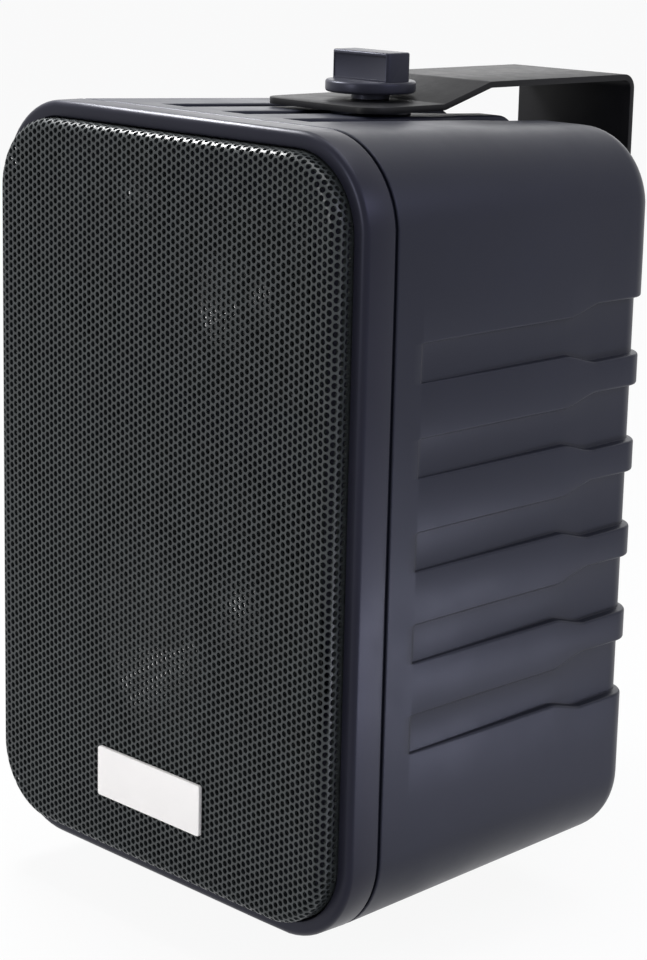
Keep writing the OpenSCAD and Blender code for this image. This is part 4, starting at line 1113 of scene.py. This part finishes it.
def make_grille(sizes, sheet):
    """Deep-drawn grille: one perforated sheet whose holes run on over the bent edge."""
    half_w, half_h = GRILLE[1].x - sheet.bend, GRILLE[1].z - sheet.bend
    corner = sizes.corner - sizes.rim - sheet.gap - sheet.bend
    wrap = sheet.wrap - sheet.pitch / 2
    step = sheet.pitch * math.sqrt(3) / 2
    field = perforation().run("grille_field", {
        "Half Width": half_w + wrap,
        "Half Height": half_h + wrap,
        "Corner Radius": corner + wrap,
        "Pitch": sheet.pitch,
        "Hole": sheet.hole,
        "Columns": 2 * math.ceil((half_w + wrap) / step) + 1,
        "Rows": 2 * math.ceil((half_h + wrap) / sheet.pitch) + 3,
        "Finish": finish("grille_paint"),
    })
    bm = bmesh.new()
    bm.from_mesh(field.data)
    bpy.data.objects.remove(field)
    bmesh.ops.remove_doubles(bm, verts=bm.verts, dist=1e-6)
    border = outer_loop(bm)
    full = sheet.bend * math.pi / 2 + (BAFFLE_Y - GRILLE_Y - sheet.bend)
    blank = refined_loop(box_outline(half_w + full, half_h + full, corner + full, 20), sheet.pitch)
    fill(bm, [[bm.verts.new((a, b, 0)) for a, b in blank], border])
    cuts = (-math.inf, -half_h / 2, 0.0, half_h / 2, math.inf)
    for number, (low, high) in enumerate(zip(cuts, cuts[1:]), 1):
        part = bm.copy()
        away = [f for f in part.faces if not low <= f.calc_center_median().y < high]
        bmesh.ops.delete(part, geom=away, context="FACES")
        thicken(part, sheet, half_w, half_h, corner)
        piece = shade(built(part, f"grille_sheet_{number}"), 38)
        settle(piece, "grille", stands_for=number == 1)
    bm.free()


def outer_loop(bm):
    """Outermost closed loop of a flat perforated field."""
    open_edges = [e for e in bm.edges if len(e.link_faces) == 1]
    start = max((v for e in open_edges for v in e.verts), key=lambda v: v.co.x)
    ways = {}
    for e in open_edges:
        for v in e.verts:
            ways.setdefault(v, []).append(e)
    loop, edge, vert = [start], None, start
    while True:
        edge = next(e for e in ways[vert] if e is not edge)
        vert = edge.other_vert(vert)
        if vert is start:
            return loop
        loop.append(vert)


def refined_loop(points, longest):
    """Adds points so that no stretch of a closed loop is much longer than given."""
    result = []
    for a, b in zip(points, points[1:] + points[:1]):
        gap = math.dist(a, b)
        if gap < 1e-7:
            continue
        steps = max(1, round(gap / longest))
        for i in range(steps):
            result.append((a[0] + (b[0] - a[0]) * i / steps, a[1] + (b[1] - a[1]) * i / steps))
    return result


def thicken(bm, sheet, half_w, half_h, corner):
    """Closes a flat perforated blank to a sheet of full thickness and bends its edge."""
    for face in bm.faces:
        face.normal_update()
        if face.normal.z > 0:
            face.normal_flip()
    rim = [e for e in bm.edges if len(e.link_faces) == 1]
    twin = bmesh.ops.duplicate(bm, geom=list(bm.verts) + list(bm.edges) + list(bm.faces))
    pairs = twin["vert_map"]
    for face in (g for g in twin["geom"] if isinstance(g, bmesh.types.BMFace)):
        face.normal_flip()
    backs = {g for g in twin["geom"] if isinstance(g, bmesh.types.BMVert)}
    for edge in rim:
        a, b = edge.verts
        bm.faces.new((a, b, pairs[b], pairs[a]))
    for vert in bm.verts:
        depth = sheet.sheet if vert in backs else 0.0
        vert.co = bend_sheet(vert.co.x, vert.co.y, depth, sheet, half_w, half_h, corner)


def make_badge(sheet):
    """Plain plate on the grille."""
    low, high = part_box("badge_plate")
    middle, half = (low + high) / 2, (high - low) / 2
    points = box_outline(half.x, half.z, sheet.badge_corner, 5)
    bm = bmesh.new()
    rings = [[Vector((middle.x + a, y, middle.z + b)) for a, b in points] for y in (low.y, high.y)]
    for row in loft(bm, rings):
        bm.faces.new(row)
    piece = soft_edges(built(bm, "badge_plain"), sheet.badge_edge, 3, 50)
    return settle(shade(piece), "badge_plate")


# Bracket and clamps


def strap_line(clamp):
    """Middle line of the strap in the side view, from one free end to the other."""
    low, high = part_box("u_bracket")
    half = clamp.strap / 2
    arm_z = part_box("washer_top")[1].z + half
    top_z, wall_y = high.z - half, high.y - half
    flat_y = centre("stud_top").y + clamp.arm_flat
    ramp_y = flat_y + clamp.arm_step
    miter = half * math.tan(math.atan2(top_z - arm_z, clamp.arm_step) / 2)
    arm = [(low.y, arm_z), (flat_y + miter, arm_z), (ramp_y + miter, top_z), (wall_y, top_z)]
    upper = rounded(arm, clamp.strap_bend, 6)[:-1]
    upper += rounded([*arm[2:], (wall_y, 0)], clamp.wall_bend, 10)[1:]
    ends = [clamp.strap_corner * (1 - c) for s, c in quarter(8)[1:]]
    upper[1:1] = [upper[0] + Vector((d, 0)) for d in ends]
    return supported(upper + [Vector((p.x, -p.y)) for p in reversed(upper[:-1])], FLAT_MARGIN)


def supported(path, margin):
    """Adds points just inside both ends of each long flat, so that it shades flat."""
    line = [path[0]]
    for before, after in zip(path, path[1:]):
        along = after - before
        if along.length > 5 * margin:
            step = along.normalized() * margin
            line += [before + step, after - step]
        line.append(after)
    return line


def make_bracket(clamp):
    """Folded steel strap with rounded bends, free corners and holes."""
    path = strap_line(clamp)
    half_w, free_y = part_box("u_bracket")[1].x, path[0].x
    corner = clamp.strap_corner
    rows = []
    for i, point in enumerate(path):
        along = Vector((0, 0))
        if i:
            along += (point - path[i - 1]).normalized()
        if i < len(path) - 1:
            along += (path[i + 1] - point).normalized()
        along.normalize()
        out = Vector((-along.y, along.x)) * clamp.strap / 2
        into = min(corner, point.x - free_y)
        half = half_w - corner + math.sqrt(max(0.0, corner**2 - (corner - into) ** 2))
        a, b = point + out, point - out
        rows.append([Vector((x, p.x, p.y)) for x, p in ((-half, a), (half, a), (half, b), (-half, b))])
    bm = bmesh.new()
    strips = loft(bm, rows)
    bm.faces.new(strips[0])
    bm.faces.new(strips[-1])
    strap = built(bm, "bracket_strap")
    holes = bmesh.new()
    tall, deep = 2 * HALF_H, 10 * MM
    axis = (0, centre("stud_top").y, 0)
    lathe(holes, [(clamp.stud_hole, -tall), (clamp.stud_hole, tall)], axis, "Z", 40, hollow=False)
    for x in (-clamp.wall_hole_x, clamp.wall_hole_x):
        for z in (-clamp.wall_hole_z, clamp.wall_hole_z):
            bore = [(clamp.wall_hole, -deep), (clamp.wall_hole, deep)]
            lathe(holes, bore, (x, 0, z), "Y", 40, hollow=False)
    carve(strap, built(holes, "holes"))
    soft_edges(strap, clamp.strap_edge, 2, 40)
    return settle(shade(strap, 40), "u_bracket")


def add_box(bm, low, high):
    """Plain box between two corners, used as a cutter."""
    middle, size = (Vector(low) + Vector(high)) / 2, Vector(high) - Vector(low)
    turn = Matrix.Translation(middle) @ Matrix.Diagonal((*size, 1))
    bmesh.ops.create_cube(bm, size=1, matrix=turn)


def make_knob(clamp, side, node, stud_node):
    """Wing knob: turned skirt and neck with a moulded grip across them."""
    low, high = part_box(node)
    axis = Vector((0, centre(node).y, 0))
    base = low.z if side > 0 else -high.z
    top = high.z if side > 0 else -low.z
    foot = base + clamp.neck
    rim, edge = foot + clamp.skirt, clamp.skirt_edge
    profile = [(clamp.stud, base), (clamp.neck_radius, base), (clamp.neck_radius, foot)]
    outer = clamp.skirt_radius - edge
    profile += [(outer + edge * s, foot + edge * (1 - c)) for s, c in quarter(4)]
    profile += [(outer + edge * c, rim - edge * (1 - s)) for s, c in quarter(4)]
    profile.append((clamp.stud, rim))
    bm = bmesh.new()
    lathe(bm, [(r, side * z) for r, z in profile], axis, steps=96)
    knob = built(bm, f"{node}_moulding")
    half_l, half_t = clamp.grip_long / 2, clamp.grip_wide / 2
    levels = [(0.0, foot + edge)]
    levels += [(clamp.grip_edge * (1 - c), top - clamp.grip_edge * (1 - s)) for s, c in quarter(4)]
    rings = []
    for inset, z in levels:
        points = box_outline(half_l - inset, half_t - inset, clamp.grip_corner - inset, 6)
        rings.append([axis + Vector((a, b, side * z)) for a, b in points])
    bm = bmesh.new()
    rows = loft(bm, rings)
    bm.faces.new(rows[0])
    bm.faces.new(rows[-1])
    grip = built(bm, "grip")
    panels = bmesh.new()
    ends = sorted((side * (rim + clamp.panel_rim / 2), side * (top - clamp.panel_rim)))
    for face in (-half_t, half_t):
        across = half_l - clamp.panel_rim
        corner = axis + Vector((-across, face - clamp.panel, ends[0]))
        add_box(panels, corner, axis + Vector((across, face + clamp.panel, ends[1])))
    carve(grip, built(panels, "panels"))
    soft_edges(grip, 0.12 * MM, 2, 50)
    carve(knob, grip, "UNION")
    settle(shade(knob, 35), node)
    make_stud(clamp, stud_node)


def make_stud(clamp, node):
    """Threaded steel stud."""
    low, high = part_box(node)
    axis = Vector((0, centre(node).y, 0))
    steps, rows = 24, 6
    count = round((high.z - low.z) / clamp.thread_pitch * rows)
    rings = []
    for row, z in enumerate(spread(low.z, high.z, count)):
        near_end = min(row, count - row) / rows
        ring_points = []
        for i, (a, b) in enumerate(circle(1, steps)):
            phase = (row / rows - i / steps) % 1
            radius = clamp.stud - clamp.thread * (1 - abs(2 * phase - 1))
            if near_end < TIP_RUN:
                radius = clamp.stud - clamp.thread * (TIP_CUT - near_end)
            ring_points.append(axis + Vector((a * radius, b * radius, z)))
        rings.append(ring_points)
    bm = bmesh.new()
    ends = loft(bm, rings)
    bm.faces.new(ends[0])
    bm.faces.new(ends[-1])
    return settle(shade(built(bm, f"{node}_thread"), 50), node)


def make_screws(g, node, turn):
    """Screws of one group, each with a cross recess turned its own way."""
    places = solids(node)
    low, high = places[0]
    head = (high.x - low.x) / 2
    tall = head * HEAD_SHAPE
    faces_front = turn > 0
    points = []
    for start, end in places:
        y = start.y + tall if faces_front else end.y - tall
        points.append(((start.x + end.x) / 2, y, (start.z + end.z) / 2))
    values = {
        "Head Radius": head,
        "Shank Radius": head * SHANK_SHAPE,
        "Long": high.y - low.y - tall,
        "Turn": turn,
        "Finish": finish(NODE_SLOT[node]),
    }
    return settle(shade(g.run(f"{node}_heads", values, points), 35), node)


# Stage


def make_floor(look):
    """Pale floor that keeps the shadow and shows white to the camera and in reflections."""
    z = FRAME_BOX[0][2] - look.floor_gap
    bm = bmesh.new()
    for a, b in ((-6, -6), (6, -6), (6, 6), (-6, 6)):
        bm.verts.new((a, b, z))
    bm.faces.new(bm.verts)
    floor = built(bm, "floor")
    n = Nodes("floor_paint")
    tone = n.mix(n.noise(30, 3), scaled(look.floor, 0.98), look.floor)
    n.set(Base_Color=tone, Roughness=0.9)
    rays = n.add("ShaderNodeLightPath").outputs
    glow = n.add("ShaderNodeEmission", Color=(1, 1, 1), Strength=1.0)
    seen = n.add("ShaderNodeMath", {"operation": "MULTIPLY"})
    n.put(seen.inputs[0], rays["Is Camera Ray"])
    n.put(seen.inputs[1], look.floor_white)
    share = seen.outputs[0]
    for ray in ("Is Glossy Ray", "Is Transmission Ray"):
        most = n.add("ShaderNodeMath", {"operation": "MAXIMUM"})
        n.put(most.inputs[0], share)
        n.put(most.inputs[1], rays[ray])
        share = most.outputs[0]
    blend = n.add("ShaderNodeMixShader")
    n.put(blend.inputs[0], share)
    n.put(blend.inputs[1], n.shader.outputs[0])
    n.put(blend.inputs[2], glow.outputs[0])
    n.put(n.output.inputs["Surface"], blend.outputs[0])
    floor.data.materials.append(n.material)


def make_world():
    """White to the camera and in reflections, dim to soft light."""
    world = bpy.data.worlds.new("studio")
    bpy.context.scene.world = world
    world.use_nodes = True
    tree = world.node_tree
    tree.nodes.clear()
    rays = tree.nodes.new("ShaderNodeLightPath").outputs
    share = rays["Is Camera Ray"]
    for ray in ("Is Glossy Ray", "Is Transmission Ray"):
        most = tree.nodes.new("ShaderNodeMath")
        most.operation = "MAXIMUM"
        tree.links.new(share, most.inputs[0])
        tree.links.new(rays[ray], most.inputs[1])
        share = most.outputs[0]
    mix = tree.nodes.new("ShaderNodeMixShader")
    tree.links.new(share, mix.inputs[0])
    for socket, tint, strength in ((1, (0.9, 0.93, 1, 1), 0.4), (2, (1, 1, 1, 1), 1.0)):
        sky = tree.nodes.new("ShaderNodeBackground")
        sky.inputs["Color"].default_value = tint
        sky.inputs["Strength"].default_value = strength
        tree.links.new(sky.outputs[0], mix.inputs[socket])
    output = tree.nodes.new("ShaderNodeOutputWorld")
    tree.links.new(mix.outputs[0], output.inputs["Surface"])


def area_lamp(name, place, size, power, tint):
    """Soft lamp that looks at the middle of the cabinet."""
    data = bpy.data.lights.new(name, "AREA")
    data.shape = "RECTANGLE"
    data.size, data.size_y = size
    data.energy = power
    data.color = tint
    lamp = bpy.data.objects.new(name, data)
    bpy.context.scene.collection.objects.link(lamp)
    lamp.location = place
    lamp.rotation_mode = "QUATERNION"
    target = Vector((0, (FRONT_Y + BACK_Y) / 2, 0))
    lamp.rotation_quaternion = (target - Vector(place)).to_track_quat("-Z", "Y")


def make_camera(look):
    """Camera at the photograph's viewing angle."""
    data = bpy.data.cameras.new("camera")
    data.lens = look.lens
    data.sensor_width = 36
    data.sensor_fit = "AUTO"
    data.clip_start, data.clip_end = 0.01, 50
    data.dof.use_dof = False
    around, down, tilt = look.azimuth, look.pitch, look.roll
    ahead = Vector((-math.sin(around) * math.cos(down), math.cos(around) * math.cos(down), -math.sin(down)))
    level = Vector((math.cos(around), math.sin(around), 0))
    above = level.cross(ahead)
    right = level * math.cos(tilt) + above * math.sin(tilt)
    up = above * math.cos(tilt) - level * math.sin(tilt)
    camera = bpy.data.objects.new("camera", data)
    bpy.context.scene.collection.objects.link(camera)
    turn = Matrix((right, up, -ahead)).transposed().to_4x4()
    camera.matrix_world = Matrix.Translation(Vector(look.place)) @ turn
    bpy.context.scene.camera = camera


# Operators


class SPEAKER_OT_stage(bpy.types.Operator):
    """Sets the floor, the studio light and the camera"""

    bl_idname = "speaker.stage"
    bl_label = "Stage"

    def execute(self, context):
        look = context.scene.speaker_stage
        make_camera(look)
        make_floor(look)
        make_world()
        for lamp in LAMPS:
            area_lamp(*lamp)
        context.scene.view_settings.view_transform = "Standard"
        return {"FINISHED"}


class SPEAKER_OT_paint(bpy.types.Operator):
    """Gives every carried-over CAD node the finish of its slot"""

    bl_idname = "speaker.paint"
    bl_label = "Finishes"

    def execute(self, context):
        for name, piece in frame["nodes"].items():
            piece.data.materials.clear()
            piece.data.materials.append(finish(NODE_SLOT[name]))
        return {"FINISHED"}


class SPEAKER_OT_shell(bpy.types.Operator):
    """Models the moulded rear shell with its recessed bands"""

    bl_idname = "speaker.shell"
    bl_label = "Rear Shell"

    def execute(self, context):
        make_shell(context.scene.speaker_cabinet)
        return {"FINISHED"}


class SPEAKER_OT_bezel(bpy.types.Operator):
    """Models the front moulding with its rounded bezel"""

    bl_idname = "speaker.bezel"
    bl_label = "Front Bezel"

    def execute(self, context):
        make_bezel(context.scene.speaker_cabinet)
        return {"FINISHED"}


class SPEAKER_OT_grille(bpy.types.Operator):
    """Models the perforated grille and the plain plate on it"""

    bl_idname = "speaker.grille"
    bl_label = "Grille"

    def execute(self, context):
        make_grille(context.scene.speaker_cabinet, context.scene.speaker_grille)
        make_badge(context.scene.speaker_grille)
        return {"FINISHED"}


class SPEAKER_OT_bracket(bpy.types.Operator):
    """Models the folded strap of the bracket"""

    bl_idname = "speaker.bracket"
    bl_label = "Bracket"

    def execute(self, context):
        make_bracket(context.scene.speaker_clamp)
        return {"FINISHED"}


class SPEAKER_OT_clamps(bpy.types.Operator):
    """Models the knobs, their studs and the rubber washers"""

    bl_idname = "speaker.clamps"
    bl_label = "Clamps"

    def execute(self, context):
        clamp = context.scene.speaker_clamp
        make_knob(clamp, 1, "knob_top", "stud_top")
        make_knob(clamp, -1, "knob_bottom", "stud_bottom")
        for node in ("washer_top", "washer_bottom"):
            dress(node, 0.25)
        return {"FINISHED"}


class SPEAKER_OT_drivers(bpy.types.Operator):
    """Dresses the woofer, the midrange, the tweeter and the port"""

    bl_idname = "speaker.drivers"
    bl_label = "Drivers"

    def execute(self, context):
        for node, edge in DRIVER_EDGES.items():
            dress(node, edge)
        return {"FINISHED"}


class SPEAKER_OT_terminals(bpy.types.Operator):
    """Dresses the terminal cup, its levers and its contacts"""

    bl_idname = "speaker.terminals"
    bl_label = "Terminals"

    def execute(self, context):
        for node, edge in TERMINAL_EDGES.items():
            dress(node, edge)
        return {"FINISHED"}


class SPEAKER_OT_crossover(bpy.types.Operator):
    """Dresses the circuit board, its parts and the felt"""

    bl_idname = "speaker.crossover"
    bl_label = "Crossover"

    def execute(self, context):
        for node, edge in CROSSOVER_EDGES.items():
            dress(node, edge)
        return {"FINISHED"}


class SPEAKER_OT_screws(bpy.types.Operator):
    """Sets the screws of the baffle, the drivers, the terminals and the board"""

    bl_idname = "speaker.screws"
    bl_label = "Screws"

    def execute(self, context):
        g = pan_head_screws()
        for part in ("baffle", "woofer", "midrange", "tweeter", "board"):
            make_screws(g, f"{part}_screws", math.pi / 2)
        make_screws(g, "terminal_screws", -math.pi / 2)
        return {"FINISHED"}


GROUPS = {
    "speaker_cabinet": CabinetSizes,
    "speaker_grille": GrilleSizes,
    "speaker_clamp": ClampSizes,
    "speaker_finishes": Finishes,
    "speaker_stage": StageLook,
}
STEPS = (
    SPEAKER_OT_stage,
    SPEAKER_OT_paint,
    SPEAKER_OT_shell,
    SPEAKER_OT_bezel,
    SPEAKER_OT_grille,
    SPEAKER_OT_bracket,
    SPEAKER_OT_clamps,
    SPEAKER_OT_drivers,
    SPEAKER_OT_terminals,
    SPEAKER_OT_crossover,
    SPEAKER_OT_screws,
)


class SPEAKER_PT_pieces(bpy.types.Panel):
    """Lists the pieces of the speaker and their sizes"""

    bl_label = "Wall Speaker"
    bl_space_type = "VIEW_3D"
    bl_region_type = "UI"
    bl_category = "Speaker"

    def draw(self, context):
        for step in STEPS:
            self.layout.operator(step.bl_idname)
        for name, group in GROUPS.items():
            box = self.layout.box()
            for field in group.__annotations__:
                box.prop(getattr(context.scene, name), field)


def register():
    for kind in (*GROUPS.values(), *STEPS, SPEAKER_PT_pieces):
        bpy.utils.register_class(kind)
    for name, kind in GROUPS.items():
        setattr(bpy.types.Scene, name, bpy.props.PointerProperty(type=kind))


def unregister():
    for name in GROUPS:
        delattr(bpy.types.Scene, name)
    for kind in (SPEAKER_PT_pieces, *reversed(STEPS), *GROUPS.values()):
        bpy.utils.unregister_class(kind)


def main():
    register()
    bpy.ops.speaker.stage()
    bpy.ops.speaker.paint()
    bpy.ops.speaker.shell()
    bpy.ops.speaker.bezel()
    bpy.ops.speaker.grille()
    bpy.ops.speaker.bracket()
    bpy.ops.speaker.clamps()
    bpy.ops.speaker.drivers()
    bpy.ops.speaker.terminals()
    bpy.ops.speaker.crossover()
    bpy.ops.speaker.screws()


if __name__ == "__main__":
    main()
